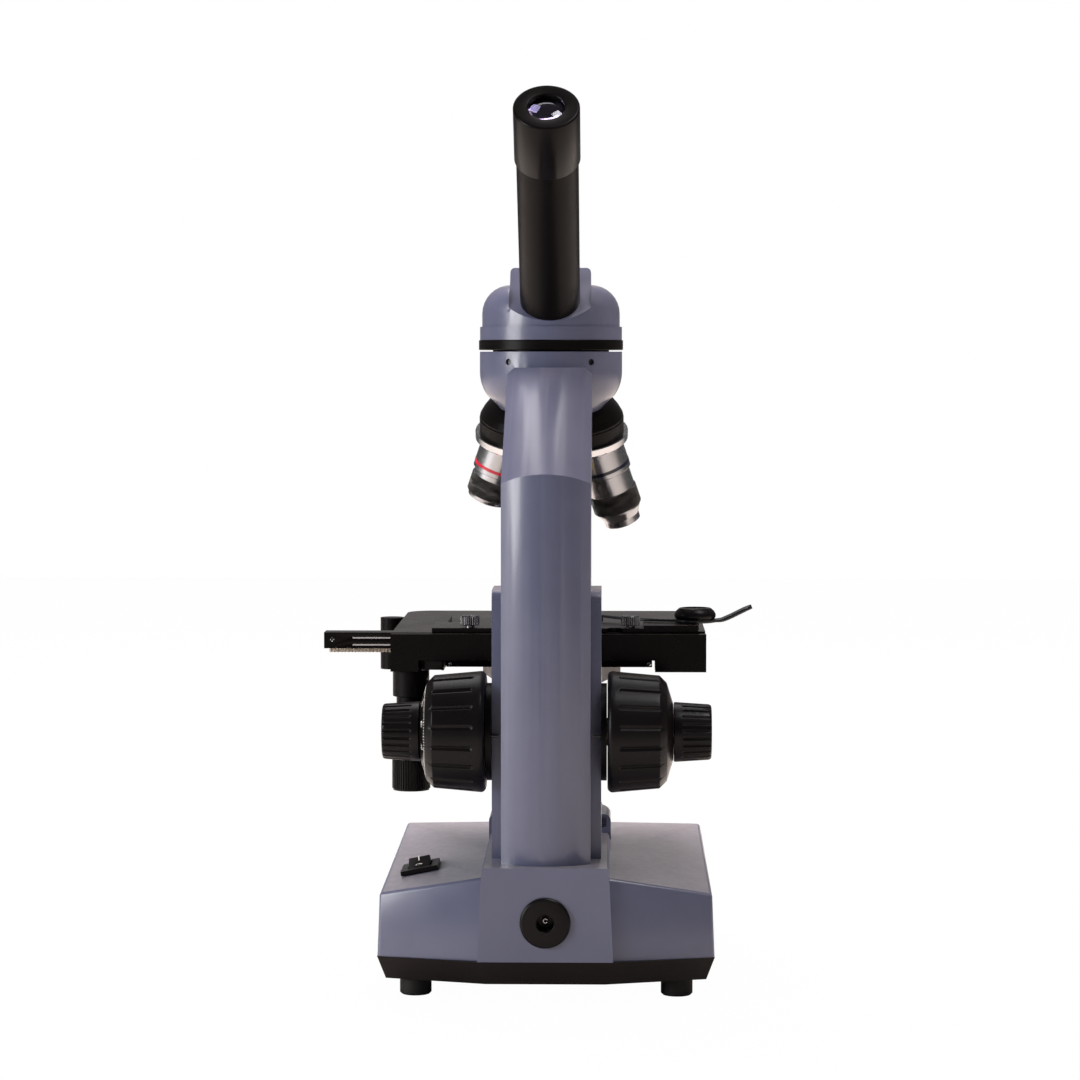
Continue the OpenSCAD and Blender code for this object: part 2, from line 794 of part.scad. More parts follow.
module arm() {
    top_y = bowl_r - 2 * corner_r;
    color(cast_grey) difference() {
        union() {
            // Column and overhang, bent with a mitre
            intersection() {
                translate([0, 0, spine_h]) linear_extrude(bowl_h) arm_section(arm_back, arm_back);
                translate([0, -bend_y, bend_h]) rotate([arm_rise - 90, 0, 0]) translate([0, bend_y,
                    -bowl_h])
                    linear_extrude(2 * bowl_h) arm_section(arm_back, 2 * bowl_h);
                side_profile(concat([[-spine_back, spine_h], [-spine_back, arm_top], [-top_y, arm_top],
                    [-top_y, meet_h - (plane_t + top_y * sin(tilt)) / cos(tilt)]],
                    [for (i = [6 : -1 : 0]) let (a = (90 - arm_rise) * i / 6)
                        [-arm_front - gap + throat_r * (1 - cos(a)), throat_h + throat_r * sin(a)]],
                    [[-arm_front - gap, spine_h]]), arm_w);
            }
            // Focus housing with a rounded rear ledge
            side_profile(concat([[-arm_front, spine_h], [-arm_front, housing_h]],
                arc(housing_round - housing_back, housing_h - housing_round, housing_round, 90, 180, 6),
                [[-housing_back, spine_h]]), housing_w);
            // Bowl
            difference() {
                spun(concat([[0, bowl_low_h - bowl_r], [bowl_low_r / 2, bowl_low_h - bowl_r / 2]],
                    arc(bowl_low_r - bowl_round, bowl_low_h + bowl_round / 2, bowl_round, -60, -30, 2),
                    arc(bowl_r - 2 * bowl_round, bowl_h - bowl_round, 2 * bowl_round, -35, 0, 5),
                    [[bowl_r, bowl_h], [0, bowl_h]]));
                under_nosepiece(plane_t);
            }
        }
        // Recess for the head's neck, and the light's way
        bar(neck_r + play, bowl_h - neck_depth, bowl_h + over);
        bar(light_low_r, bowl_low_h - bowl_r, bowl_h);
        // Set screws
        for (s = [-1, 1]) translate([0, 0, set_screw_h]) rotate([0, 0, s * 35 - 90])
            cross_bar(set_screw_r, neck_r - over, bowl_r + over);
        // Slideway of the focus
        translate([0, 0, slot_low]) linear_extrude(slot_high - slot_low) {
            dovetail(tail_w + 2 * gap, tail_root + 2 * gap, tail_t + gap, arm_front, over);
            translate([-rack_w / 2 - gap, -arm_front - tail_t - rack_room])
                square([rack_w + 2 * gap, rack_room + tail_t]);
        }
        // Room for the pinion, and the shaft's bores
        translate([0, -focus_reach, focus_h]) {
            cross_bar(gear_room_r, -rack_w, rack_w);
            cross_bar(bush_r, arm_side - bush_l, arm_side + over);
            cross_bar(bush_r, -arm_side - over, bush_l - arm_side);
            cross_bar(coarse_shaft_r + gap, -arm_side, arm_side);
            for (s = [-1, 1], k = [1 : flange_screws]) rotate([360 * k / flange_screws, 0,
                0]) translate([0, 0, screw_circle])
                cross_bar(screw_head_r / 2, s * arm_side - 3 * screw_head_t,
                    s * arm_side + 3 * screw_head_t);
        }
        nosepiece_place() bar(pivot_r, -plane_t - over, over + gap - plane_t + bush_l / 2);
    }
}

// Dovetail in plan: narrow at the face, wide at its root behind the face
module dovetail(w, root_w, t, face, out) {
    polygon([[-w / 2, out - face], [w / 2, out - face], [w / 2, -face], [root_w / 2, -face - t],
        [-root_w / 2, -face - t], [-w / 2, -face]]);
}

module focus_flanges() {
    color(black) translate([0, -focus_reach, focus_h]) for (s = [0, 180]) rotate([0, 0, s]) difference() {
        union() {
            cross_bar(flange_focus_r, arm_side, knob_in - gap);
            cross_bar(bush_r - play, arm_side - bush_l, arm_side + speck);
        }
        cross_bar(coarse_shaft_r + play, 0, knob_in + over);
        for (k = [1 : flange_screws]) rotate([360 * k / flange_screws, 0, 0]) translate([0, 0,
            screw_circle])
            cross_bar(screw_head_r + play, arm_side - speck, knob_in);
    }
}

module arm_screws() {
    color("#b9a67a") translate([0, -focus_reach, focus_h]) for (s = [0, 180], k = [1 : flange_screws])
        rotate([0, 0, s]) rotate([360 * k / flange_screws, 0, 0]) translate([0, 0, screw_circle]) {
            cross_bar(screw_head_r, arm_side, arm_side + screw_head_t);
            cross_bar(screw_head_r / 2, arm_side - 3 * screw_head_t, arm_side + speck);
        }
    color(silver) for (s = [-1, 1]) translate([0, 0, set_screw_h]) rotate([0, 0, s * 35 - 90])
        cross_bar(set_screw_r, neck_r + gap, bowl_r - screw_head_t);
}

// Children turned so that their own +Z runs along X, with their +X towards +Y
module along_x() {
    rotate([90, 0, 90]) children();
}

module coarse_shaft() {
    color(silver) translate([0, -focus_reach, focus_h]) difference() {
        union() {
            cross_bar(coarse_shaft_r, -cone_in, cone_in);
            along_x() translate([0, 0, gap - rack_w]) gear(focus_module, focus_teeth, 2 * (rack_w - gap));
        }
        cross_bar(fine_shaft_r + play, -cone_in - over, cone_in + over);
    }
}

// One coarse knob, along +X
module coarse_knob() {
    along_x() difference() {
        spun([[coarse_shaft_r, knob_in], [coarse_r - knob_round, knob_in], [coarse_r,
            knob_in + knob_round],
            [coarse_end_r, cone_in], [coarse_end_r - coarse_bevel, cone_in + coarse_bevel],
            [cone_r, cone_in + coarse_bevel + cone_l - gap],
            [fine_shaft_r + play, cone_in + coarse_bevel + cone_l - gap],
            [fine_shaft_r + play, cone_in], [coarse_shaft_r, cone_in]]);
        for (k = [0 : coarse_grooves - 1]) rotate([0, 0, 360 * (k + 0.5) / coarse_grooves])
            translate([coarse_end_r + groove_r / 2, 0, cone_in - groove_l])
                cylinder(r = groove_r, h = groove_l + over);
    }
}

module coarse_knobs() {
    color(black) translate([0, -focus_reach, focus_h]) for (s = [0, 180]) rotate([0, 0, s]) coarse_knob();
}

module fine_shaft() {
    color(silver) translate([0, -focus_reach, focus_h])
        cross_bar(fine_shaft_r, knob_round - fine_out, fine_out - knob_round);
}

module fine_knobs() {
    color(black) translate([0, -focus_reach, focus_h]) for (s = [0, 180]) rotate([0, 0,
        s]) along_x() difference() {
        spun([[fine_shaft_r, fine_in], [fine_r, fine_in], [fine_r, fine_out - knob_round],
            [fine_r - knob_round, fine_out - knob_round / 4], [fine_r / 2, fine_out], [0, fine_out],
            [0, fine_out - knob_round], [fine_shaft_r, fine_out - knob_round]]);
        for (k = [0 : fine_flutes - 1]) rotate([0, 0, 360 * k / fine_flutes])
            translate([fine_r + flute_r / 4, 0, fine_out - flute_l]) cylinder(r = flute_r,
                h = flute_l + over);
    }
}

module focus_slider() {
    color("#3a3a3d") {
        translate([0, 0, slider_low]) linear_extrude(slider_high - slider_low)
            dovetail(tail_w, tail_root, tail_t, arm_front, slider_out);
        translate([0, 0, slider_low]) linear_extrude(stage_under - over - slider_low)
            dovetail_out(fine_tail_w, fine_tail_root, fine_tail_t, arm_front - slider_out);
        // Rack on the slider's rear
        translate([-rack_w / 2, -slide_root - focus_module * (root_share + 1), slider_low]) slab(0,
            rack_w,
            focus_module, focus_module * (root_share + 1) + speck, 0, slider_high - slider_low);
        translate([rack_w / 2, focus_module * focus_teeth / 2 - focus_reach, focus_h]) rotate([90, 0,
            -90])
            rack(focus_module, -8, 14, focus_reach - slide_root - focus_module * focus_teeth / 2, rack_w);
    }
}

// Dovetail standing out of a face towards +Y: narrow at the face, wide at its end
module dovetail_out(w, end_w, t, face) {
    polygon([[-w / 2, -face - speck], [w / 2, -face - speck], [end_w / 2, t - face], [-end_w / 2,
        t - face]]);
}

module stage_bracket() {
    face = arm_front - slider_out;
    color("#3a3a3d") difference() {
        union() {
            slab(-bracket_half_w, bracket_half_w, gap - face, -bracket_front, bracket_low, stage_under);
            // Fork under the stage
            translate([0, 0, arm_plate_low]) linear_extrude(stage_under - arm_plate_low) hull() {
                translate([-arm_plate_half_w, arm_plate_front - stage_corner_r - bracket_front / 2])
                    square([2 * arm_plate_half_w, bracket_front / 2]);
                translate([-bracket_half_w, -face + 2 * gap]) square([2 * bracket_half_w,
                    bracket_front / 2]);
            }
        }
        // Slideway of the fine focus
        translate([0, 0, bracket_low - over]) linear_extrude(stage_under - bracket_low + 2 * over)
            polygon([[-fine_tail_w / 2 - gap, -face], [fine_tail_w / 2 + gap, -face],
                [fine_tail_root / 2 + gap, fine_tail_t + gap - face],
                [-fine_tail_root / 2 - gap, fine_tail_t + gap - face]]);
        // Slideway of the condenser, with room for its pinion
        translate([0, 0, bracket_low - over]) linear_extrude(arm_plate_low - bracket_low + over)
            dovetail(cond_tail_w + 2 * gap, cond_tail_root + 2 * gap, cond_tail_t + gap, bracket_front,
                over);
        translate([0, -cond_shaft_back, cond_shaft_h]) {
            cross_bar(cond_shaft_r + play, -bracket_half_w - over, cond_tail_w / 2 + over);
            cross_bar(cond_pitch_r + 3 * cond_module / 2, -cond_tail_w / 2, cond_tail_w / 2);
        }
        slab(-rack_w / 4 - gap, rack_w / 4 + gap, cond_pitch_r - cond_shaft_back - cond_module - gap,
            speck - bracket_front - cond_tail_t, bracket_low - over, arm_plate_low);
        bar(cond_hole_r, arm_plate_low - over, stage_under + over);
    }
}

// Plan of the stage plate with rounded front corners
module stage_plan() {
    translate([-half_stage, -stage_back]) square([stage_w, stage_back + stage_front - stage_corner_r]);
    for (s = [-1, 1]) translate([s * (half_stage - stage_corner_r), stage_front - stage_corner_r])
        circle(r = stage_corner_r);
    translate([stage_corner_r - half_stage, 0]) square([stage_w - 2 * stage_corner_r, stage_front]);
}

module stage_lower() {
    w = lower_half_w;
    rack_x = drive_x - y_module * y_teeth / 2;
    color("#2b2a2c") {
        difference() {
            slab(-w, w, -lower_back, lower_front, stage_under, lower_top);
            slab(-w - over, w + over, -lower_back - over, -step_back, rail_low - layer_gap,
                lower_top + over);
            bar(cond_hole_r - foot_chamfer, stage_under - over, lower_top + over);
        }
        // Rack for the to-and-fro drive
        slab(-w - over, speck - w, -stage_back + layer_gap, -step_back, y_gear_low, y_gear_low + gear_t);
        translate([-rack_x, -drive_back, y_gear_low]) rotate([0, 0, 180])
            rack(y_module, -18, 3, rack_x - w + speck, gear_t);
    }
}

module stage_upper() {
    cavity = y_module * y_teeth / 2 + 2 * y_module;
    color("#343134") difference() {
        union() {
            translate([0, 0, plate_under]) linear_extrude(plate_t) stage_plan();
            // Rear rail, drive block, right block and side strips
            slab(-half_stage, half_stage, -stage_back, -rail_far, rail_low, plate_under + speck);
            slab(-half_stage, -block_in, -stage_back, -block_far, stage_under, plate_under + speck);
            slab(block_in, half_stage, -stage_back, -rail_far, stage_under, plate_under + speck);
            for (s = [-1, 1]) translate([s * (lower_half_w + gap + strip_w / 2), 0, 0])
                slab(-strip_w / 2, strip_w / 2, -rail_far - speck, stage_front - stage_corner_r / 3,
                    strip_clear_h, plate_under + speck);
        }
        // Channel of the cross bar and its rack
        side = half_stage + over;
        slab(-side, side, -bar_near - gap, gap + bar_w - bar_near, bar_low - gap, stage_h + over);
        slab(-side, side, -rack_back - 2 * gap - x_module, gap + bar_w - bar_near,
            bar_low - rack_h - gap, stage_h);
        // Rooms of the two pinions
        translate([-drive_x, -drive_back, 0]) {
            bar(cavity, stage_under - over, y_gear_low + gear_t + layer_gap);
            bar(x_module * x_teeth / 2 + 2 * x_module, bar_low - rack_h - gap, bar_low);
            bar(x_shaft_r + gap, stage_under, stage_h);
        }
        slab(cavity / 2 - drive_x, over - block_in, -stage_back - over, over - block_far,
            stage_under - over,
            y_gear_low + gear_t + layer_gap);
        // Light slot
        hull() for (y = [slot_front - slot_half_w, slot_half_w - slot_back])
            translate([0, y, plate_under - over]) cylinder(r = slot_half_w, h = plate_t + 2 * over,
                $fn = 48);
        translate([-half_stage, post_y, plate_under + plate_t / 2]) cross_bar(post_stud_r, -over,
            post_stud_l);
    }
}

module x_bar() {
    color("#232122") difference() {
        slab(-bar_left, bar_right, -bar_near, bar_w - bar_near, bar_low, bar_top);
        for (h = [bar_groove_h1, bar_groove_h2])
            slab(stage_corner_r - bar_left, bar_right + over, -bar_near - over, bar_groove / 2 - bar_near,
                h, h + bar_groove);
        for (x = [-thumb_x_left, thumb_x_right]) translate([x, -drive_back, 0])
            bar(thumb_neck_r + play, bar_low + bar_groove, bar_top + over);
    }
}

module x_rack() {
    far = bar_near - bar_w;
    color("#b8ab8e") translate([-drive_x, -rack_back, bar_low - rack_h]) rotate([0, 0, -90])
        rack(x_module, -23, 56, rack_back - far - gap, rack_h);
}

module slide_holder() {
    t = bar_top + holder_t;
    color("#2a2829") difference() {
        union() {
            slab(-holder_left, holder_right, -bar_near, -holder_far, bar_top, t);
            slab(-holder_left, jaw_w - holder_left, -holder_far - speck, jaw_front, bar_top, t);
            slab(holder_step_x, holder_right, -bar_near, speck - holder_far - jaw_w, bar_top,
                bar_top + holder_step_t);
        }
        for (x = [-thumb_x_left, thumb_x_right]) translate([x, -drive_back, 0])
            bar(thumb_neck_r + play, bar_top - over, t + over);
        translate([clip_x, -clip_back, 0])
            bar(clip_pin_r, bar_top - over, bar_top + holder_step_t + over);
        translate([thumb_x_right - 2 * holder_notch_r, -bar_near, 0]) bar(holder_notch_r,
            bar_top - over, t + over);
    }
}

module thumb_screws() {
    color(silver) for (x = [-thumb_x_left, thumb_x_right]) translate([x, -drive_back, 0]) {
        bar(thumb_neck_r, bar_low + 2 * bar_groove, thumb_low + speck);
        translate([0, 0, thumb_low]) knurl(thumb_r, grip_tooth / 2, thumb_teeth, thumb_t);
    }
}

module clip_knob() {
    color(black) translate([clip_x, -clip_back, 0]) {
        spun(concat([[clip_pin_r, clip_low], [clip_knob_r - foot_chamfer, clip_low]],
            arc(clip_knob_r - foot_chamfer * 2, clip_low + foot_chamfer * 2, foot_chamfer * 2, -45, 45,
                4),
            [[clip_knob_r - clip_edge, clip_low + clip_t], [0, clip_low + clip_t], [0, clip_low + over],
            [clip_pin_r, clip_low + over]]));
        bar(clip_pin_r - play, bar_top, clip_low + over + speck);
    }
}

module clip_finger() {
    z0 = bar_top + holder_step_t + gap;
    z1 = z0 + finger_t;
    color("#1f1d1e") {
        difference() {
            union() {
                translate([clip_x, -clip_back, 0]) bar(clip_knob_r - foot_chamfer, z0, clip_low);
                translate([finger_x, 0, 0]) intersection() {
                    difference() {
                        bar(finger_r + finger_w / 2, z0, z1);
                        bar(finger_r - finger_w / 2, z0 - over, z1 + over);
                    }
                    slab(-2 * finger_r, over, -2 * finger_r, 0, z0, z1);
                }
                // Foot that holds the slide's end
                slab(finger_x - finger_r - finger_w / 2, finger_x - finger_r + finger_w / 2,
                    -finger_foot, 0,
                    bar_top + gap, z1);
            }
            translate([clip_x, -clip_back, 0]) bar(clip_pin_r + play, z0 - over, clip_low + over);
        }
        // Finger tab that curves up
        translate([0, -clip_back, 0]) side_turn() linear_extrude(lever_w) polygon([
            [clip_x + clip_knob_r / 2, z0], [lever_reach, z0],
                [lever_reach + (lever_tip - lever_reach) / 2, z0 +
            lever_rise * lever_share], [lever_tip, z0 + lever_rise], [lever_tip - finger_t / 2,
                z0 + lever_rise + 2 * finger_t],
            [lever_reach + (lever_tip - lever_reach) / 2 - finger_t,
                z0 + lever_rise * lever_share + 2 * finger_t],
            [lever_reach - finger_t, z1], [clip_x + clip_knob_r / 2, z1]]);
    }
}

// Children drawn in (X, Z), extruded along -Y and centred on the clip's lever
module side_turn() {
    translate([0, lever_w / 2, 0]) rotate([90, 0, 0]) children();
}

module drive_housing() {
    color("#232223") translate([-drive_x, -drive_back, 0]) difference() {
        union() {
            bar(housing_drive_r, housing_drive_low, stage_under);
            bar(drive_neck_r, drive_neck_low, housing_drive_low + speck);
        }
        bar(y_tube_r + play, drive_neck_low - over, stage_under + over);
    }
}

// Knurled knob between two heights with rounded ends
module drive_knob(r, depth, n, low, high) {
    bar(r - depth, low, high);
    translate([0, 0, low + foot_chamfer]) knurl(r, depth, n, high - low - 2 * foot_chamfer);
}

module y_drive() {
    color(black) translate([-drive_x, -drive_back, 0]) difference() {
        union() {
            drive_knob(y_knob_r, flute_r, fine_flutes, y_knob_low, y_knob_high);
            bar(y_tube_r, y_knob_high - speck, y_gear_low + speck);
            translate([0, 0, y_gear_low]) gear(y_module, y_teeth, gear_t);
        }
        bar(x_shaft_r + play, y_knob_low - over, y_gear_low + gear_t + over);
    }
}

module x_drive() {
    color(black) translate([-drive_x, -drive_back, 0]) {
        drive_knob(x_knob_r, grip_tooth, 2 * fine_flutes, x_knob_low, x_knob_high);
        bar(x_shaft_r, x_knob_high - speck, bar_low - rack_h);
        translate([0, 0, bar_low - rack_h]) rotate([0, 0, 90]) gear(x_module, x_teeth, x_gear_t);
    }
}

module stage_side_post() {
    color("#222122") {
        translate([-post_x, post_y, 0]) bar(post_side_r, post_low, post_high);
        translate([-half_stage, post_y, plate_under + plate_t / 2])
            cross_bar(post_stud_r - play, -post_side_r, post_stud_l - gap);
    }
}

module condenser_carrier() {
    ring = cond_r + play + carrier_ring_w;
    tail_back = bracket_front + cond_tail_t;
    color("#2c2b2d") {
        difference() {
            union() {
                translate([0, 0, carrier_low]) linear_extrude(tail_top - carrier_low)
                    dovetail(cond_tail_w, cond_tail_root, cond_tail_t, bracket_front, speck);
                translate([0, 0, carrier_low]) linear_extrude(carrier_high - carrier_low) {
                    translate([-cond_tail_w / 2, -bracket_front]) square([cond_tail_w, gap + speck]);
                    translate([-carrier_half_w, gap - bracket_front]) square([2 * carrier_half_w,
                        bracket_front - cond_r]);
                }
                bar(ring, carrier_low, carrier_high - carrier_ring_w / 2);
            }
            bar(cond_r + play, carrier_low - over, carrier_high + over);
        }
        translate([rack_w / 4, cond_module * cond_teeth / 2 - cond_shaft_back,
            cond_shaft_h]) rotate([90, 0, -90])
            rack(cond_module, -3, 6, cond_module * (root_share + 1), rack_w / 2);
    }
}

module condenser_body() {
    color("#262527") filter_pin_place() {
        bar(filter_pin_r, filter_low, carrier_low - gap);
        slab(cond_r - over - filter_pin_x, filter_rim, -filter_rim, filter_rim, cond_low,
            carrier_low - gap);
    }
    color("#262527") difference() {
        spun([[cond_lens_r, cond_low], [cond_r, cond_low], [cond_r, cond_shoulder], [cond_r - over,
            cond_shoulder + over],
            [cond_tip_r + 2 * bar_groove, cone_top - bar_groove], [cone_top_r, cone_top], [cond_tip_r,
                cone_top],
            [cond_tip_r, cond_top - bar_groove], [cond_tip_r - bar_groove, cond_top], [cond_lens_r,
                cond_top]]);
        bar(cond_r - carrier_ring_w, cond_low - over, cond_shoulder - carrier_ring_w);
    }
}

module condenser_lens() {
    color("#dfe8ee") {
        bar(cond_lens_r, cond_top - 4 * bar_groove, cond_top);
        bar(cond_r - carrier_ring_w, cond_shoulder - 2 * carrier_ring_w, cond_shoulder - carrier_ring_w);
    }
}

module iris_ring() {
    color(black) {
        difference() {
            bar(cond_r, iris_low, iris_low + iris_t);
            bar(cond_r - carrier_ring_w, iris_low - over, iris_low + iris_t + over);
        }
        translate([0, 0, iris_low + iris_t / 2]) rotate([0, 0, 140])
            cross_bar(iris_lever_r - gap, cond_r - carrier_ring_w / 2, cond_r + iris_lever_l);
        translate([0, 0, iris_low + iris_t / 2]) rotate([0, 0, 140])
            cross_bar(iris_lever_r, cond_r + iris_lever_l / 2, cond_r + iris_lever_l + gap);
    }
}

// Pin on the condenser from which the filter holder swings
module filter_pin_place() {
    rotate([0, 0, 45]) translate([filter_pin_x, 0, 0]) children();
}

module filter_holder() {
    low = filter_low;
    color(black) difference() {
        union() {
            bar(filter_r + filter_rim, low, low + filter_t);
            filter_pin_place() bar(filter_pin_r + filter_rim / 2, low, low + filter_t);
            rotate([0, 0, 45]) slab(filter_r + filter_rim / 2, filter_pin_x, -filter_rim, filter_rim,
                low, low + filter_t);
            rotate([0, 0, -60]) slab(filter_r + filter_rim / 2, filter_pin_x + filter_rim, -filter_rim,
                filter_rim,
                low, low + filter_t / 2);
        }
        bar(filter_r - filter_rim / 2, low - over, low + filter_t + over);
        bar(filter_r + play, low + filter_t / 3, low + filter_t + over);
        filter_pin_place() bar(filter_pin_r + play, low - over, low + filter_t + over);
    }
}

module filter_glass() {
    color("#7fa8d8") bar(filter_r, filter_low + filter_t / 3, filter_low + filter_t - bar_groove);
}

module condenser_knob() {
    color(black) translate([0, -cond_shaft_back, cond_shaft_h]) {
        cross_bar(cond_shaft_r, -cond_knob_in - over, rack_w / 4);
        along_x() translate([0, 0, -rack_w / 4]) gear(cond_module, cond_teeth, rack_w / 2);
        rotate([0, -90, 0]) translate([0, 0, cond_knob_in]) {
            bar(cond_knob_r - flute_r / 2, 0, cond_knob_l);
            translate([0, 0, foot_chamfer])
                knurl(cond_knob_r, flute_r / 2, fine_flutes, cond_knob_l - 2 * foot_chamfer);
        }
    }
}

module nosepiece_dome() {
    wide = band_r - dome_top_r;
    high = dome_end - plane_t;
    color(black) difference() {
        nosepiece_place() spun([[pivot_r, -plane_t - gap], [dome_top_r, -plane_t - gap],
        [dome_top_r + wide * dome_shares[0][0], -plane_t - high * dome_shares[0][1]],
        [dome_top_r + wide * dome_shares[1][0], -plane_t - high * dome_shares[1][1]],
            [band_r - gap, -dome_end + over], [band_r - gap, -dome_end], [pivot_r, -dome_end]]);
        bar(light_low_r, bowl_low_h - 2 * bowl_r, bowl_h);
    }
}

// Children placed at each objective's axis, hanging from the meeting point
module objective_place(i) {
    nosepiece_place() rotate([0, 0, objective_turns[i]]) rotate([-tilt, 0, 0]) children();
}

module turret() {
    inner_q = seat_q - shell_t;
    color("#222122") difference() {
        intersection() {
            union() {
                nosepiece_place() bar(band_r, -seat_q - shell_t, -band_start);
                nosepiece_place() bar(pivot_r - play, -seat_q, over - plane_t + bush_l / 2);
            }
            translate([0, 0, meet_h]) sphere(r = seat_q - gap);
        }
        // Hollow shell round the pivot
        nosepiece_place() difference() {
            intersection() {
                bar(band_r - shell_t / 2, -seat_q, over - band_start);
                sphere(r = inner_q);
            }
            bar(2 * pivot_r, -seat_q - over, 0);
        }
        for (i = [0 : 3]) objective_place(i) {
            bar(thread_r, -seat_q - over, 5 * over - inner_q);
            bar(boss_r + play, -seat_q - over, bar_groove - seat_q);
        }
    }
}

module turret_ring() {
    color(silver) nosepiece_place() difference() {
        spun([[band_r, -ring_start], [ring_r - gap, -ring_start], [ring_r, -ring_start - gap],
            [ring_r, -ring_end + foot_chamfer], [ring_r - foot_chamfer, -ring_end], [band_r, -ring_end]]);
        for (i = [0 : 3]) rotate([0, 0, objective_turns[i]]) rotate([-tilt, 0, 0])
            bar(boss_r + gap, -seat_q - over, bar_groove - seat_q);
    }
}

// Barrel, waist and nose of an objective; the lengths run from the seat downwards
module objective_barrel(i) {
    l = objective_lengths[i];
    s = bar_groove - seat_q;
    z1 = -seat_q - l[0];
    z2 = z1 - l[1];
    z3 = z2 - l[2];
    z4 = z3 - l[3];
    n = nose_radii[i];
    color(silver) objective_place(i) spun([[n * lens_r_share, s + shell_t / 2], [thread_r,
        s + shell_t / 2],
        [thread_r, s], [barrel_r, s], [barrel_r, z1 + gap], [barrel_r - gap, z1], [waist_r, z1],
            [waist_r, z2],
        [grip_core, z2], [grip_core, z3], [max(n, grip_core + over), z3], [max(n, grip_core + over),
            z3 - rim_t / 2],
        [n, (z3 + z4) / 2 - rim_t / 2], [n, z4 + gap], [n - gap, z4], [n * lens_r_share, z4]]);
}

// Coloured ring near the end of a barrel
module objective_band(i, shade) {
    z = -seat_q - objective_lengths[i][0] + band_back;
    color(shade) objective_place(i) difference() {
        bar(barrel_r + band_out, z, z + band_t);
        bar(barrel_r, z - over, z + band_t + over);
    }
}

module objective_4_barrel() { objective_barrel(0); }
module objective_10_barrel() { objective_barrel(1); }
module objective_40_barrel() { objective_barrel(2); }
module objective_100_barrel() { objective_barrel(3); }
module objective_4_band() { objective_band(0, "#c3202f"); }
module objective_10_band() { objective_band(1, "#e2c32a"); }
module objective_40_band() { objective_band(2, "#27357c"); }
module objective_100_band() { objective_band(3, "#f2f2f2"); }

module objective_grips() {
    color(black) for (i = [0 : 3]) {
        l = objective_lengths[i];
        z = -seat_q - l[0] - l[1] - l[2];
        objective_place(i) difference() {
            translate([0, 0, z]) knurl(grip_out, grip_tooth, grip_teeth, l[2]);
            bar(grip_core, z - over, z + l[2] + over);
        }
    }
}

module objective_lenses() {
    color("#dfe8ee") for (i = [0 : 3]) {
        l = objective_lengths[i];
        r = nose_radii[i] * lens_r_share;
        z = -seat_q - l[0] - l[1] - l[2] - l[3];
        objective_place(i) bar(r, z + lens_proud, z + lens_proud + 2 * r);
    }
}

module clamp_ring() {
    color(black) difference() {
        union() {
            spun([[neck_r, clamp_low], [clamp_r - gap, clamp_low], [clamp_r, clamp_low + gap],
                [clamp_r, flange_low - gap], [clamp_r - gap, flange_low], [neck_r, flange_low]]);
            bar(neck_r, bowl_h - neck_depth + gap, flange_low);
        }
        bar(light_r, bowl_h - neck_depth - over, flange_low + over);
    }
}

// The viewing tube's own frame: +Z runs up the tube from the optical axis
module tube_place() {
    translate([0, 0, tube_root_h]) rotate([45, 0, 0]) children();
}

module head_outer() {
    spun(concat([[0, flange_low], [flange_r, flange_low], [flange_r, flange_top], [dome_r, flange_top]],
        arc(dome_r - dome_round, dome_h - dome_round, dome_round, 0, 90, 8), [[0, dome_h]]));
    // Collar block, cut by the tube's face
    intersection() {
        translate([0, 0, flange_low]) linear_extrude(collar_top - flange_low) intersection() {
            circle(r = dome_r);
            translate([-collar_w / 2, -dome_r]) square([collar_w, 2 * dome_r]);
        }
        side_profile([[-dome_r - over, flange_top], [-dome_r - over, collar_top],
            [collar_far, collar_top], [collar_far + collar_top - flange_top, flange_top]],
                collar_w + over);
        translate([0, 0, flange_low]) rotate([90, 0, 0]) translate([0, 0,
            -dome_r]) linear_extrude(2 * dome_r)
            hull() for (s = [-1, 1]) {
                translate([s * (collar_w / 2 - collar_round), collar_top - flange_low - collar_round])
                    circle(r = collar_round, $fn = 24);
                translate([s * collar_w / 2 - over / 2, 0]) square([over, over]);
            }
    }
}

module head_shell() {
    color(cast_grey) difference() {
        head_outer();
        // Sloping face of the collar
        tube_place() translate([0, 0, collar_face + bowl_r])
            cube([collar_w + gap, 2 * bowl_r, 2 * bowl_r], center = true);
        // Chamber of the prism
        intersection() {
            bar(dome_r - dome_round, flange_low - over, dome_h - shell_wall);
            tube_place() translate([0, 0, -bowl_r / 2 + collar_face / 2 - shell_wall]) cube(
                [3 * bowl_r, 3 * bowl_r, bowl_r + collar_face], center = true);
        }
        tube_place() bar(tube_r, tube_in, collar_face + over);
    }
}

module prism() {
    w = prism_w;
    low = flange_low + gap;
    color("#e6eef2") side_profile([[-w / 2, low], [w / 2, low], [w / 2, low + w / 2], [w / 4,
        low + 3 * w / 4],
        [-w / 2, low + w / 4]], w);
}

module tube() {
    color(black) tube_place() difference() {
        bar(tube_r, tube_in + 2 * shell_wall, tube_end);
        bar(eye_barrel_r + play, tube_in, tube_end + over);
    }
}

module eyepiece() {
    top = tube_end + eye_l;
    color(black) tube_place() spun([[eye_barrel_r - eye_barrel_wall, tube_end - eye_barrel_l],
        [eye_barrel_r, tube_end - eye_barrel_l], [eye_barrel_r, tube_end + speck], [eye_r,
            tube_end + speck],
        [eye_r, top - eye_bevel], [eye_r - eye_bevel, top], [eye_hole_r, top], [eye_hole_r,
            top - eye_recess],
        [eye_barrel_r - eye_barrel_wall - over, top - eye_recess - over],
        [eye_barrel_r - eye_barrel_wall - over, top - eye_recess - over - eye_lens_t],
        [eye_barrel_r - eye_barrel_wall, top - eye_recess - over - eye_lens_t]]);
}

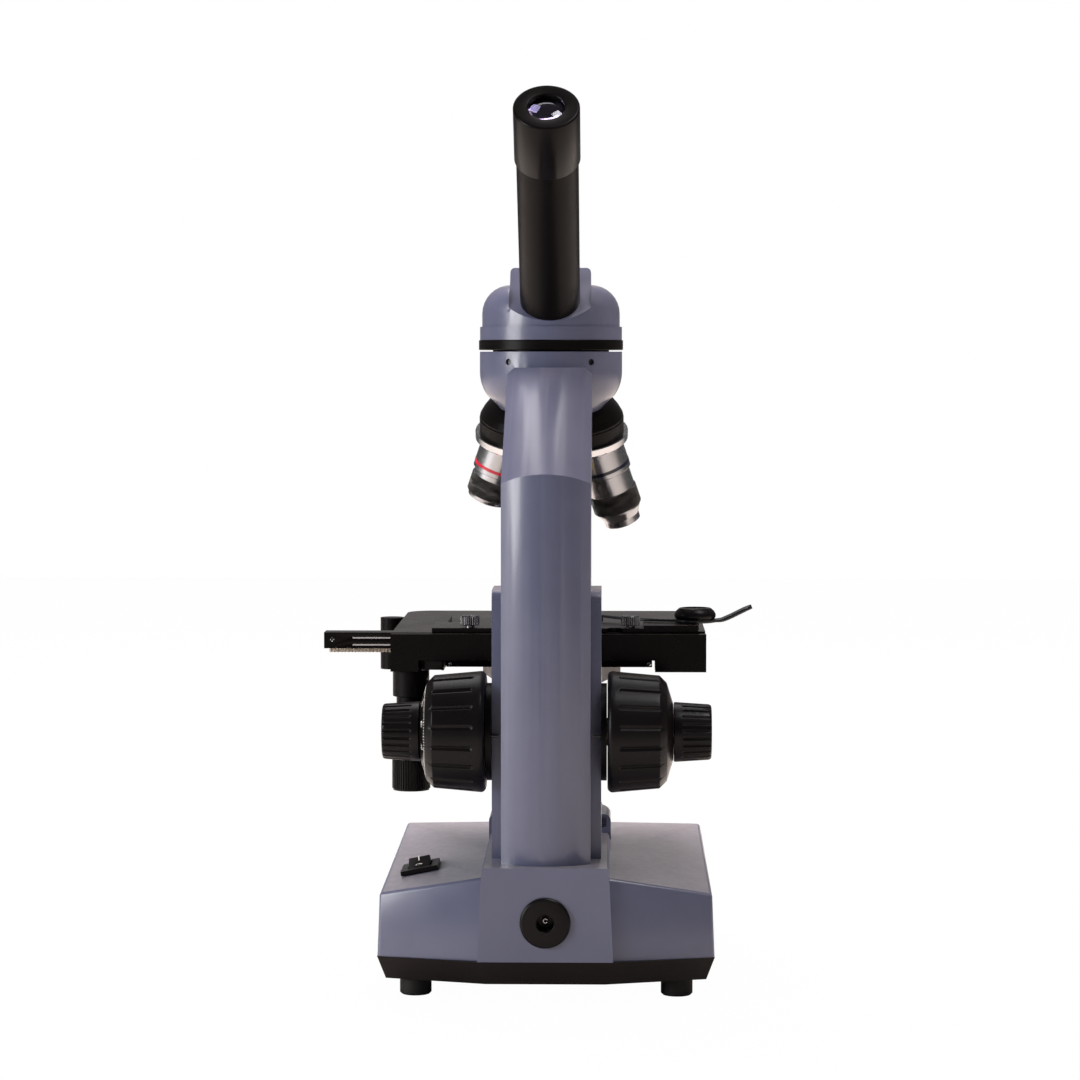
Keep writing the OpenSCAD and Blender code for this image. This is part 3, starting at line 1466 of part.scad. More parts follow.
module eyepiece_lenses() {
    top = tube_end + eye_l - eye_recess - over;
    color("#cfdfe8") tube_place() {
        bar(eye_barrel_r - eye_barrel_wall - over, top - eye_lens_t, top - gap);
        bar(eye_barrel_r - eye_barrel_wall, tube_end - eye_barrel_l + over,
            tube_end - eye_barrel_l + over + eye_lens_t);
    }
}

base_shell();
base_tray();
feet();
foot_screws();
switch_frame();
switch_rocker();
dc_jack();
dc_jack_contacts();
lamp_board();
collector_lens();
lamp_ring();
arm();
focus_flanges();
arm_screws();
coarse_shaft();
coarse_knobs();
fine_shaft();
fine_knobs();
focus_slider();
stage_bracket();
stage_lower();
stage_upper();
x_bar();
x_rack();
slide_holder();
thumb_screws();
clip_finger();
clip_knob();
drive_housing();
y_drive();
x_drive();
stage_side_post();
condenser_carrier();
condenser_body();
condenser_lens();
iris_ring();
filter_holder();
filter_glass();
condenser_knob();
nosepiece_dome();
turret();
turret_ring();
objective_4_barrel();
objective_10_barrel();
objective_40_barrel();
objective_100_barrel();
objective_4_band();
objective_10_band();
objective_40_band();
objective_100_band();
objective_grips();
objective_lenses();
clamp_ring();
head_shell();
prism();
tube();
eyepiece();
eyepiece_lenses();
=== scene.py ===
# %% [markdown]
# # A monocular microscope, seen from behind its arm
# The solids come packed from the part's source, in metres, with +Z up, +X to the right and the camera on the
# -Y side. This script leaves their sizes alone. It gives each one its finish, rounds the cast edges, and adds
# the small things that are too fine for the solids: screw heads, lens faces, dial marks and switch marks.

# %% load the frame
import json, math
import bpy, bmesh
import numpy as np
from mathutils import Matrix, Vector


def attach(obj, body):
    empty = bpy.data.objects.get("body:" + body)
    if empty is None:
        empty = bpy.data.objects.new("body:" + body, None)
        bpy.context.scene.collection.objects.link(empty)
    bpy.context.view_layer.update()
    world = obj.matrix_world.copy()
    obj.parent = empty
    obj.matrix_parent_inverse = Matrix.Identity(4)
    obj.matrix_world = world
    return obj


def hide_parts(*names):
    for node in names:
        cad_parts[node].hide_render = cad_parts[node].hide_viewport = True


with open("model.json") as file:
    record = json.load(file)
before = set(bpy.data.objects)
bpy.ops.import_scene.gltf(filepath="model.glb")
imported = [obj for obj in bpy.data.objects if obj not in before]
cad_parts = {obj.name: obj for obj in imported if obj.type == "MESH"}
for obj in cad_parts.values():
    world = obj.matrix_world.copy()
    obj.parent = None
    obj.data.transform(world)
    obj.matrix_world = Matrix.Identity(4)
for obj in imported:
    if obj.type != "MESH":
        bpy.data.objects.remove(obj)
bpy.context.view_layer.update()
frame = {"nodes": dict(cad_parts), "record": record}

nodes = frame["nodes"]
body_of_node = {n: b for b, ns in frame["record"]["behaviour"]["bodies"].items() for n in ns}
MM = 0.001

# %% [markdown]
# ## Shared effects
# Paint, plastic and metal on a used instrument are never one flat value. Three small node groups carry what
# they share: a slow mottle for tone and gloss, a fine grain that lifts the surface by microns, and a pale dusting
# on faces that look up, partly a real dusting and partly painted light that brightens tops the lamps leave in
# shade.
# They read Object coordinates, so a pattern stays put on its piece.

# %% a helper for node trees
def new_group(name, inputs, outputs):
    """An empty shader group with the named sockets: inputs {name: (kind, value)}, outputs {name: kind}."""
    group = bpy.data.node_groups.new(name, "ShaderNodeTree")
    for key, (kind, value) in inputs.items():
        socket = group.interface.new_socket(key, in_out="INPUT", socket_type="NodeSocket" + kind)
        socket.default_value = value
    for key, kind in outputs.items():
        group.interface.new_socket(key, in_out="OUTPUT", socket_type="NodeSocket" + kind)
    return group, group.nodes.new("NodeGroupInput"), group.nodes.new("NodeGroupOutput")


def node(tree, kind, **settings):
    """A node of that kind; settings whose name is a socket's go to the socket, the rest to the node."""
    made = tree.nodes.new("ShaderNode" + kind)
    for key, value in settings.items():
        target = key.replace("_", " ")
        if target in made.inputs.keys():
            made.inputs[target].default_value = value
        else:
            setattr(made, key, value)
    return made

# %% the mottle, the grain and the dusting, which also paints light on upward faces
mottle, entry, leave = new_group("slow mottle", {"Scale": ("Float", 40.0), "Low": ("Float", 0.3),
    "High": ("Float", 0.5)}, {"Value": "Float", "Mask": "Float"})
place = node(mottle, "TexCoord")
noise = node(mottle, "TexNoise", Detail=5.0, Roughness=0.6)
spread = node(mottle, "MapRange")
mottle.links.new(place.outputs["Object"], noise.inputs["Vector"])
mottle.links.new(entry.outputs["Scale"], noise.inputs["Scale"])
mottle.links.new(noise.outputs["Fac"], spread.inputs["Value"])
spread.inputs["From Min"].default_value, spread.inputs["From Max"].default_value = 0.35, 0.65
mottle.links.new(entry.outputs["Low"], spread.inputs["To Min"])
mottle.links.new(entry.outputs["High"], spread.inputs["To Max"])
mottle.links.new(spread.outputs["Result"], leave.inputs["Value"])
mottle.links.new(noise.outputs["Fac"], leave.inputs["Mask"])

grain, entry, leave = new_group("fine grain", {"Scale": ("Float", 1500.0), "Depth": ("Float", 0.00002)},
    {"Height": "Float"})
place = node(grain, "TexCoord")
noise = node(grain, "TexNoise", Detail=3.0, Roughness=0.55)
lift = node(grain, "Math", operation="MULTIPLY")
grain.links.new(place.outputs["Object"], noise.inputs["Vector"])
grain.links.new(entry.outputs["Scale"], noise.inputs["Scale"])
grain.links.new(noise.outputs["Fac"], lift.inputs[0])
grain.links.new(entry.outputs["Depth"], lift.inputs[1])
grain.links.new(lift.outputs["Value"], leave.inputs["Height"])

# the dusting mask also carries painted light: faces that look up are made paler, as if lit from above
dust_and_top_light, entry, leave = new_group("settled dust", {"Amount": ("Float", 0.1), "Scale": ("Float", 300.0)},
    {"Mask": "Float"})
facing = node(dust_and_top_light, "NewGeometry")
split = node(dust_and_top_light, "SeparateXYZ")
up = node(dust_and_top_light, "MapRange")
up.inputs["From Min"].default_value, up.inputs["From Max"].default_value = 0.89, 0.97
place = node(dust_and_top_light, "TexCoord")
noise = node(dust_and_top_light, "TexNoise", Detail=6.0, Roughness=0.7)
both = node(dust_and_top_light, "Math", operation="MULTIPLY")
scaled = node(dust_and_top_light, "Math", operation="MULTIPLY")
dust_and_top_light.links.new(facing.outputs["Normal"], split.inputs[0])
dust_and_top_light.links.new(split.outputs["Z"], up.inputs["Value"])
dust_and_top_light.links.new(place.outputs["Object"], noise.inputs["Vector"])
dust_and_top_light.links.new(entry.outputs["Scale"], noise.inputs["Scale"])
dust_and_top_light.links.new(up.outputs["Result"], both.inputs[0])
dust_and_top_light.links.new(noise.outputs["Fac"], both.inputs[1])
dust_and_top_light.links.new(both.outputs["Value"], scaled.inputs[0])
dust_and_top_light.links.new(entry.outputs["Amount"], scaled.inputs[1])
dust_and_top_light.links.new(scaled.outputs["Value"], leave.inputs["Mask"])
print("groups:", mottle.name, grain.name, dust_and_top_light.name)

# %% [markdown]
# ## Finishes
# One function writes an opaque finish: base colour with a little mottle and a pale dusting on upward faces that is
# partly painted light, a roughness that wanders between two values, and a bump from the grain. The grain's size
# and depth tell paint, moulded plastic, rubber and turned metal apart. The very dark blacks have little specular
# light, as in the photograph, where nothing bright stands opposite them. Colours are linear.

# %% the opaque finishes
def finish(name, colour, gloss=(0.3, 0.4), grain_size=1200, grain_depth=0.03, metallic=0.0,
           vary=0.06, dust_and_top_light_amount=0.05, coat=0.0, coat_gloss=0.1, tone_size=45, specular=0.5,
           dust_and_top_light_colour=(0.75, 0.74, 0.74)):
    """A Principled finish: colour times 1 -/+ vary along the mottle, then a pale dusting that also paints light on
    upward faces; bump of grain_depth mm.
    """
    made = bpy.data.materials.new(name)
    made.use_nodes = True
    tree = made.node_tree
    shader = tree.nodes["Principled BSDF"]
    shader.inputs["Metallic"].default_value = metallic
    shader.inputs["Coat Weight"].default_value = coat
    shader.inputs["Coat Roughness"].default_value = coat_gloss
    shader.inputs["Specular IOR Level"].default_value = specular
    tone = node(tree, "Group", node_tree=mottle)
    tone.inputs["Scale"].default_value = tone_size
    tone.inputs["Low"].default_value, tone.inputs["High"].default_value = gloss
    tree.links.new(tone.outputs["Value"], shader.inputs["Roughness"])
    ramp = node(tree, "MapRange")
    ramp.inputs["From Min"].default_value, ramp.inputs["From Max"].default_value = 0.3, 0.7
    blend = node(tree, "Mix", data_type="RGBA")
    blend.inputs[6].default_value = [c * (1 - vary) for c in colour] + [1]
    blend.inputs[7].default_value = [min(1, c * (1 + vary)) for c in colour] + [1]
    tree.links.new(tone.outputs["Mask"], ramp.inputs["Value"])
    tree.links.new(ramp.outputs["Result"], blend.inputs[0])
    # the dusting paints light as well as grime: upward faces blend toward the paler colour
    dust_and_light = node(tree, "Group", node_tree=dust_and_top_light)
    dust_and_light.inputs["Amount"].default_value = dust_and_top_light_amount
    dust_and_light_mix = node(tree, "Mix", data_type="RGBA")
    dust_and_light_mix.inputs[7].default_value = list(dust_and_top_light_colour) + [1]
    tree.links.new(dust_and_light.outputs["Mask"], dust_and_light_mix.inputs[0])
    tree.links.new(blend.outputs[2], dust_and_light_mix.inputs[6])
    tree.links.new(dust_and_light_mix.outputs[2], shader.inputs["Base Color"])
    fine = node(tree, "Group", node_tree=grain)
    fine.inputs["Scale"].default_value = grain_size
    fine.inputs["Depth"].default_value = grain_depth * MM
    bump = node(tree, "Bump", Strength=1.0, Distance=1.0)
    tree.links.new(fine.outputs["Height"], bump.inputs["Height"])
    tree.links.new(bump.outputs["Normal"], shader.inputs["Normal"])
    return made


# the grey paint's heavy pinkish dusting is mostly painted light: it brightens the base's top, which lies in the
# arm's shade, and tints it like a pink reflection
grey_paint = finish("blue grey cast paint", (0.104, 0.114, 0.186), (0.30, 0.38), 900, 0.02, coat=0.5,
                    coat_gloss=0.18, vary=0.04, dust_and_top_light_amount=0.42, dust_and_top_light_colour=(0.75, 0.70, 0.70))
black_paint = finish("black satin paint", (0.0030, 0.0022, 0.0024), (0.30, 0.40), 1100, 0.02, specular=0.1,
                     dust_and_top_light_amount=0.01)
stage_paint = finish("black stage enamel", (0.0030, 0.0020, 0.0023), (0.24, 0.32), 1400, 0.015, coat=0.1,
                     coat_gloss=0.2, specular=0.08, dust_and_top_light_amount=0.03)
moulded = finish("black moulded plastic", (0.0045, 0.0035, 0.0042), (0.27, 0.35), 1800, 0.02, specular=0.18,
                 dust_and_top_light_amount=0.03)
eye_black = finish("glossy black eyepiece", (0.0040, 0.0030, 0.0032), (0.28, 0.36), 1300, 0.008, specular=0.1,
                   coat=0.05, coat_gloss=0.12, dust_and_top_light_amount=0.01)
tray_plastic = finish("dark brown tray plastic", (0.0095, 0.0065, 0.0065), (0.40, 0.52), 1500, 0.04, specular=0.2,
                      dust_and_top_light_amount=0.03)
rubber = finish("black rubber", (0.008, 0.007, 0.007), (0.6, 0.75), 2500, 0.06, specular=0.3, dust_and_top_light_amount=0.06)
bright = finish("polished chrome", (0.78, 0.78, 0.80), (0.09, 0.16), 300, 0.004, metallic=1.0, vary=0.02,
                dust_and_top_light_amount=0.0)
knurl_black = finish("blackened knurled metal", (0.014, 0.012, 0.012), (0.22, 0.30), 1500, 0.01, specular=0.7,
                     dust_and_top_light_amount=0.02)
satin_steel = finish("satin turned steel", (0.52, 0.52, 0.54), (0.20, 0.30), 500, 0.006, metallic=1.0, vary=0.04,
                     dust_and_top_light_amount=0.0)
thumb_steel = finish("knurled grey steel", (0.26, 0.26, 0.275), (0.22, 0.30), 600, 0.006, metallic=1.0, vary=0.04,
                     dust_and_top_light_amount=0.0)
dark_steel = finish("blackened spring steel", (0.05, 0.05, 0.055), (0.28, 0.36), 700, 0.01, metallic=0.8,
                    dust_and_top_light_amount=0.04)
rack_metal = finish("nickelled rack", (0.66, 0.60, 0.52), (0.28, 0.38), 600, 0.01, metallic=0.35, dust_and_top_light_amount=0.0)
board = finish("green circuit board", (0.015, 0.12, 0.05), (0.3, 0.45), 900, 0.02)
red_band = finish("red enamel", (0.62, 0.02, 0.045), (0.18, 0.24), 900, 0.006, coat=0.4, dust_and_top_light_amount=0.0)
yellow_band = finish("yellow enamel", (0.80, 0.58, 0.03), (0.18, 0.24), 900, 0.006, coat=0.4, dust_and_top_light_amount=0.0)
blue_band = finish("navy enamel", (0.008, 0.011, 0.035), (0.18, 0.24), 900, 0.006, coat=0.4, dust_and_top_light_amount=0.0)
white_band = finish("white enamel", (0.83, 0.83, 0.82), (0.2, 0.28), 900, 0.006, vary=0.02, coat=0.4, dust_and_top_light_amount=0.0)
white_print = finish("white print", (0.78, 0.78, 0.76), (0.45, 0.55), 1600, 0.008, vary=0.03, dust_and_top_light_amount=0.0)
lamp_plastic = finish("beige grey lamp collar", (0.24, 0.235, 0.215), (0.4, 0.5), 1200, 0.03, dust_and_top_light_amount=0.06)

# %% [markdown]
# ## Glass
# A lens is a closed solid of clear glass. A thin violet coating shows where the light grazes it, so the coat's
# tint does that work and the body stays clear. The blue filter is the same glass with a colour of its own.

# %% glass finishes
def glass(name, colour, tint, rough=(0.01, 0.03)):
    """Clear glass with a tinted coat; its roughness follows the mottle between two small values."""
    made = bpy.data.materials.new(name)
    made.use_nodes = True
    tree = made.node_tree
    shader = tree.nodes["Principled BSDF"]
    for key, value in (("Transmission Weight", 1.0), ("IOR", 1.52), ("Coat Weight", 0.6), ("Coat Roughness", 0.03),
                       ("Coat Tint", (*tint, 1))):
        shader.inputs[key].default_value = value
    tone = node(tree, "Group", node_tree=mottle)
    tone.inputs["Scale"].default_value = 120
    tone.inputs["Low"].default_value, tone.inputs["High"].default_value = rough
    tree.links.new(tone.outputs["Value"], shader.inputs["Roughness"])
    blend = node(tree, "Mix", data_type="RGBA")
    blend.inputs[6].default_value = [*colour, 1]
    blend.inputs[7].default_value = [*(c * 0.97 for c in colour), 1]
    tree.links.new(tone.outputs["Mask"], blend.inputs[0])
    tree.links.new(blend.outputs[2], shader.inputs["Base Color"])
    return made


lens_glass = glass("coated lens glass", (0.93, 0.95, 0.97), (0.72, 0.66, 0.95))
blue_glass = glass("blue filter glass", (0.25, 0.45, 0.9), (0.9, 0.9, 1.0))
frosted = glass("frosted collector glass", (0.95, 0.95, 0.93), (0.95, 0.95, 0.95), (0.25, 0.4))

# %% each solid gets its finish
finishes = {
    grey_paint: "base_shell arm head_shell",
    black_paint: "focus_slider stage_bracket drive_housing stage_side_post condenser_carrier condenser_body "
                 "nosepiece_dome turret clamp_ring tube objective_grips focus_flanges",
    eye_black: "eyepiece",
    stage_paint: "stage_lower stage_upper x_bar slide_holder",
    moulded: "switch_frame switch_rocker dc_jack coarse_knobs fine_knobs clip_knob y_drive x_drive "
             "condenser_knob iris_ring filter_holder",
    tray_plastic: "base_tray", rubber: "feet", lamp_plastic: "lamp_ring", board: "lamp_board",
    bright: "foot_screws thumb_screws turret_ring",
    satin_steel: "coarse_shaft fine_shaft dc_jack_contacts objective_4_barrel objective_10_barrel "
                 "objective_40_barrel objective_100_barrel",
    dark_steel: "clip_finger arm_screws", rack_metal: "x_rack",
    red_band: "objective_4_band", yellow_band: "objective_10_band", blue_band: "objective_40_band",
    white_band: "objective_100_band",
    lens_glass: "condenser_lens objective_lenses prism eyepiece_lenses", frosted: "collector_lens",
    blue_glass: "filter_glass"}
for made, names in finishes.items():
    for name in names.split():
        nodes[name].data.materials.clear()
        nodes[name].data.materials.append(made)
left_out = set(nodes) - set(" ".join(finishes.values()).split())
print("finished solids:", len(nodes) - len(left_out), "left out:", left_out)

# %% [markdown]
# ## Rounded cast edges
# A casting or a moulded cover has no sharp edge: the light draws a thin pale line along every one. The solids
# carry the form with crisp edges, so a copy of each such solid is merged, its flat faces joined, and a Bevel
# modifier of under a millimetre rounds every edge that turns by more than a set angle.

# %% the merged copy, the new piece and the rounded stand-in
def clean_mesh(source, name, weld=0.002, flat=0.6):
    """A merged copy of a solid's mesh: doubles within weld mm joined, faces within flat degrees made one."""
    mesh = source.data.copy()
    mesh.name = name
    work = bmesh.new()
    work.from_mesh(mesh)
    bmesh.ops.remove_doubles(work, verts=work.verts, dist=weld * MM)
    bmesh.ops.dissolve_limit(work, angle_limit=math.radians(flat), verts=work.verts, edges=work.edges)
    bmesh.ops.recalc_face_normals(work, faces=work.faces)
    work.to_mesh(mesh)
    work.free()
    return mesh


def add_piece(name, mesh, body, material=None, replaces=(), smooth=32):
    """Puts a mesh into the scene as a piece that rides on a body, smooth where faces meet within some degrees."""
    piece = bpy.data.objects.new(name, mesh)
    bpy.context.scene.collection.objects.link(piece)
    if material is not None:
        mesh.materials.clear()
        mesh.materials.append(material)
    mesh.shade_smooth()
    mesh.set_sharp_from_angle(angle=math.radians(smooth))
    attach(piece, body)
    if replaces:
        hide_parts(*replaces)
    return piece


def rounded(name, radius, angle=24, segments=3):
    """Replaces a solid by its merged copy with edges over angle degrees rounded to radius mm."""
    piece = add_piece(name + "_rounded", clean_mesh(nodes[name], name + " rounded"), body_of_node[name],
                      replaces=(name,), smooth=40)
    bevel = piece.modifiers.new("round edges", "BEVEL")
    bevel.width = radius * MM
    bevel.segments = segments
    bevel.limit_method = "ANGLE"
    bevel.angle_limit = math.radians(angle)
    bevel.use_clamp_overlap = True
    bevel.harden_normals = True
    bevel.miter_outer = "MITER_ARC"
    return piece


edge_radii = {"base_shell": 0.9, "arm": 0.9, "head_shell": 0.7, "base_tray": 0.5, "stage_upper": 0.45,
              "stage_lower": 0.4, "x_bar": 0.4, "slide_holder": 0.3, "switch_frame": 0.35, "switch_rocker": 0.4,
              "drive_housing": 0.4, "lamp_ring": 0.3, "stage_bracket": 0.4, "dc_jack": 0.3}
for name, radius in edge_radii.items():
    piece = rounded(name, radius)
    print("rounded:", piece.name, len(piece.data.polygons), "faces before its bevel")

# %% solids that stay as they are are shaded smooth, except across real edges
for name, solid in nodes.items():
    if not solid.hide_render:
        solid.data.shade_smooth()
        solid.data.set_sharp_from_angle(angle=math.radians(28))

# %% [markdown]
# ## Surfaces from arrays
# Most small parts here are turned: a profile of radii and heights swept round an axis. `revolve` works that
# out as one array, and `grid_mesh` puts a grid of points into a mesh. A frame says where the axis stands.

# %% grids, turned shapes and their place
def grid_mesh(name, points, wrap_u=False, wrap_v=False):
    """A mesh from a grid of points (rows u, columns v, xyz in mm); a direction that wraps closes on itself."""
    rows, cols = points.shape[:2]
    u, v = np.meshgrid(np.arange(rows - (not wrap_u)), np.arange(cols - (not wrap_v)), indexing="ij")
    a, b = (u + 1) % rows, (v + 1) % cols
    faces = np.stack([u * cols + v, a * cols + v, a * cols + b, u * cols + b], -1).reshape(-1, 4)
    mesh = bpy.data.meshes.new(name)
    mesh.from_pydata((points.reshape(-1, 3) * MM).tolist(), [], faces.tolist())
    mesh.update()
    return mesh


def revolve(profile, steps=96):
    """Points of a turned shape: (r cos a, r sin a, h) for each (r, h) of the profile and each angle a."""
    profile = np.asarray(profile, float)
    angle = np.linspace(0, 2 * np.pi, steps, endpoint=False)
    r, h = profile[:, :1], profile[:, 1:]
    return np.stack([r * np.cos(angle), r * np.sin(angle), h + 0 * angle], -1)


def axes(z_axis, x_hint=(1, 0, 0)):
    """Three unit rows x, y, z of a right-handed frame whose z is z_axis and whose x leans to x_hint."""
    z = np.asarray(z_axis, float) / np.linalg.norm(z_axis)
    x = np.asarray(x_hint, float) - np.dot(x_hint, z) * z
    x /= np.linalg.norm(x)
    return np.array([x, np.cross(z, x), z])


def put(points, origin, frame_rows):
    """Carries local points into the shared frame: origin + x * row0 + y * row1 + z * row2."""
    return np.asarray(origin, float) + points @ frame_rows


def joined(name, meshes, weld=0.001):
    """One mesh out of several, doubles merged and faces turned outwards."""
    work = bmesh.new()
    for mesh in meshes:
        work.from_mesh(mesh)
    bmesh.ops.remove_doubles(work, verts=work.verts, dist=weld * MM)
    bmesh.ops.recalc_face_normals(work, faces=work.faces)
    made = bpy.data.meshes.new(name)
    work.to_mesh(made)
    work.free()
    return made


def blocks(name, corners):
    """Closed boxes from an array of eight corners each: four of the lower face in turn, then the upper four."""
    corners = np.asarray(corners, float)
    sides = np.array([[3, 2, 1, 0], [4, 5, 6, 7], [0, 1, 5, 4], [1, 2, 6, 5], [2, 3, 7, 6], [3, 0, 4, 7]])
    faces = (sides[None] + 8 * np.arange(len(corners))[:, None, None]).reshape(-1, 4)
    mesh = bpy.data.meshes.new(name)
    mesh.from_pydata((corners.reshape(-1, 3) * MM).tolist(), [], faces.tolist())
    mesh.update()
    return joined(name, [mesh], 0.0)


def box_corners(x0, x1, y0, y1, z0, z1):
    """The eight corners of one upright box."""
    low = [[x0, y0, z0], [x1, y0, z0], [x1, y1, z0], [x0, y1, z0]]
    return low + [[x, y, z1] for x, y, z in low]

# %% [markdown]
# ## Lens faces
# The eyepiece's eye lens bulges out of its cap and shows a bright ring of reflection. The solid is a flat disc,
# so a turned lens takes its place: two spherical caps on a short edge. The field lens below it is made with it.
# The cap has a flat face with a small rounded edge, so it is turned anew too, on the same barrel.

# %% the eyepiece's lenses and its cap
def cap_profile(r, bulge, h, rows=14, down=False):
    """Radii from the axis to r with the height of a spherical cap that bulges by that much."""
    radii = r * np.sin(np.linspace(0, np.pi / 2, rows))
    ball = (r * r + bulge * bulge) / (2 * bulge)
    rise = np.sqrt(ball ** 2 - radii ** 2) - (ball - bulge)
    return np.stack([radii, h + (-rise if down else rise)], -1)


def lens_points(r, low, high, bulge_low, bulge_high):
    """A turned lens from one pole to the other; both poles close in a point."""
    return revolve(np.concatenate([cap_profile(r, bulge_low, low, down=True),
                                   cap_profile(r, bulge_high, high)[::-1]]))


tube_root = np.array([0, 0, 277.0])
tube_frame = axes((0, -math.sqrt(0.5), math.sqrt(0.5)))
barrel_in, barrel_out, barrel_foot = 10.4, 11.6, 82.8
eye_low, eye_high, eye_bulge = 138.0, 140.6, 2.4
cap_r, cap_foot, cap_face, cap_round, eye_hole = 14.3, 114.9, 143.9, 1.0, 8.0
eye_lens = lens_points(9.4, eye_low, eye_high, 0.4, eye_bulge)
field_lens = lens_points(barrel_in, barrel_foot + 1.0, barrel_foot + 3.7, 0.3, 1.6)
lens_meshes = [grid_mesh("eye lens", put(eye_lens, tube_root, tube_frame), wrap_v=True),
               grid_mesh("field lens", put(field_lens, tube_root, tube_frame), wrap_v=True)]
add_piece("eyepiece_lens_pair", joined("eyepiece lenses", lens_meshes), "eyepiece", lens_glass,
          replaces=("eyepiece_lenses",), smooth=60)
bore = [[barrel_in, barrel_foot], [barrel_in, eye_low], [eye_hole, 140.5], [eye_hole, cap_face - 0.4],
        [eye_hole + 0.3, cap_face - 0.08], [eye_hole + 0.5, cap_face], [cap_r - 1.2, cap_face]]
edge = [[cap_r - cap_round * (1 - math.sin(t)), cap_face - cap_round * (1 - math.cos(t))]
        for t in np.linspace(0, math.pi / 2, 9)]
outside = [[cap_r, cap_foot + 0.3], [cap_r - 0.2, cap_foot], [barrel_out, cap_foot], [barrel_out, barrel_foot]]
eyepiece = put(revolve(bore + edge + outside, 128), tube_root, tube_frame)
add_piece("eyepiece_turned", joined("eyepiece", [grid_mesh("eyepiece", eyepiece, wrap_u=True, wrap_v=True)]),
          "eyepiece", eye_black, replaces=("eyepiece",), smooth=40)
print("eye lens stands", round(cap_face - eye_high - eye_bulge, 2), "mm below the cap's face")

# %% [markdown]
# ## Dial on the left focus knob
# Only the left coarse knob carries a scale: a hundred short white ticks on its cone, longer at every tenth, with
# small plain numbers inside them. Each tick is a thin raised block laid on the cone, and each number is text
# made into a mesh and wrapped on by reading x as an angle and y as a distance down the cone.

# %% the ticks
focus_axis = np.array([0, -90.0, 111.2])
cone_start, cone_stop = np.array([21.25, 51.7]), np.array([12.15, 54.5])
cone_run = np.linalg.norm(cone_stop - cone_start)
slope = (cone_stop - cone_start) / cone_run
outward = np.array([slope[1], -slope[0]])


def on_cone(angle, run, height):
    """A point of the left cone: run mm in from its rim, height mm off its surface, at an angle round -X."""
    flat = cone_start + np.multiply.outer(run, slope) + np.multiply.outer(height, outward)
    radius, out = flat[..., 0], flat[..., 1]
    return np.stack([-out, radius * np.sin(angle) + focus_axis[1], radius * np.cos(angle) + focus_axis[2]], -1)


tick_count, tick_half, tick_height = 100, 0.15, 0.05
angle = np.arange(tick_count) * 2 * np.pi / tick_count
long_tick = np.select([np.arange(tick_count) % 10 == 0, np.arange(tick_count) % 5 == 0], [3.6, 3.0], 2.3)
corner_run = np.stack([0 * angle + 0.7, 0 * angle + 0.7, long_tick, long_tick], -1)
radius_here = cone_start[0] + corner_run * slope[0]
corner_angle = angle[:, None] + np.array([-1, 1, 1, -1]) * tick_half / radius_here
tick_corners = np.concatenate([on_cone(corner_angle, corner_run, 0 * corner_run - 0.02),
                               on_cone(corner_angle, corner_run, 0 * corner_run + tick_height)], 1)
add_piece("focus_scale_ticks", blocks("focus scale ticks", tick_corners), "coarse", white_print)
print("ticks:", tick_count)

# %% the numbers
def text_mesh(words, height):
    """Flat text as a mesh in mm: letters of that height, centred on x, standing on y = 0."""
    curve = bpy.data.curves.new("figure", "FONT")
    curve.body, curve.size, curve.align_x = words, height, "CENTER"
    curve.resolution_u = 3
    holder = bpy.data.objects.new("figure", curve)
    bpy.context.scene.collection.objects.link(holder)
    mesh = bpy.data.meshes.new_from_object(holder.evaluated_get(bpy.context.evaluated_depsgraph_get()))
    bpy.data.objects.remove(holder)
    return mesh


figures, number_count, number_height, number_run = [], 10, 2.8, 6.6
for turn_step in range(number_count):
    mesh = text_mesh(str(10 * turn_step), number_height)
    flat = np.zeros(3 * len(mesh.vertices))
    mesh.vertices.foreach_get("co", flat)
    flat = flat.reshape(-1, 3)
    run = number_run - flat[:, 1]
    here = turn_step * 2 * np.pi / number_count - flat[:, 0] / (cone_start[0] + run * slope[0])
    mesh.vertices.foreach_set("co", (on_cone(here, run, 0 * run + 0.02) * MM).ravel())
    figures.append(mesh)
numbers = add_piece("focus_scale_numbers", joined("focus scale numbers", figures), "coarse", white_print)
wall = numbers.modifiers.new("print thickness", "SOLIDIFY")
wall.thickness, wall.offset = 0.05 * MM, 0.0
print("numbers:", len(figures))

# %% [markdown]
# ## Marks on the switch
# The rocker's two ends carry the usual I and O. They are thin white prints that follow its hollow top.

# %% the I and the O
def turned(angle_x=0.0, angle_y=0.0, angle_z=0.0):
    """Rows of a frame turned about X, then Y, then Z, in degrees."""
    made = (Matrix.Rotation(math.radians(angle_z), 3, "Z") @ Matrix.Rotation(math.radians(angle_y), 3, "Y")
            @ Matrix.Rotation(math.radians(angle_x), 3, "X"))
    return np.array(made).T


def on_rocker(x, y, height):
    """A point of the rocker's hollow top: z = 15.2 - sqrt(11^2 - y^2), then tilted and set in the switch."""
    local = np.stack([x, y, 15.2 - np.sqrt(121 - y * y) + height], -1)
    tilted = local @ turned(18) + [0, 0, -0.6]
    return tilted @ turned(0, -11.2) + [-55.5, -75, 48.75]


side, along = np.meshgrid([-0.27, 0.27], np.linspace(1.5, 4.3, 9), indexing="ij")
ring_r, ring_a = np.meshgrid([1.05, 1.5], np.linspace(0, 2 * np.pi, 33), indexing="ij")
flat_marks = [(side, along), (ring_r * np.cos(ring_a), ring_r * np.sin(ring_a) - 3.0)]
marks = [grid_mesh("mark", on_rocker(x, y, 0 * x + 0.03)) for x, y in flat_marks]
switch_marks = add_piece("switch_marks", joined("switch marks", marks), "rocker", white_print)
wall = switch_marks.modifiers.new("print thickness", "SOLIDIFY")
wall.thickness, wall.offset = 0.06 * MM, 0.0
print("marks:", len(marks))

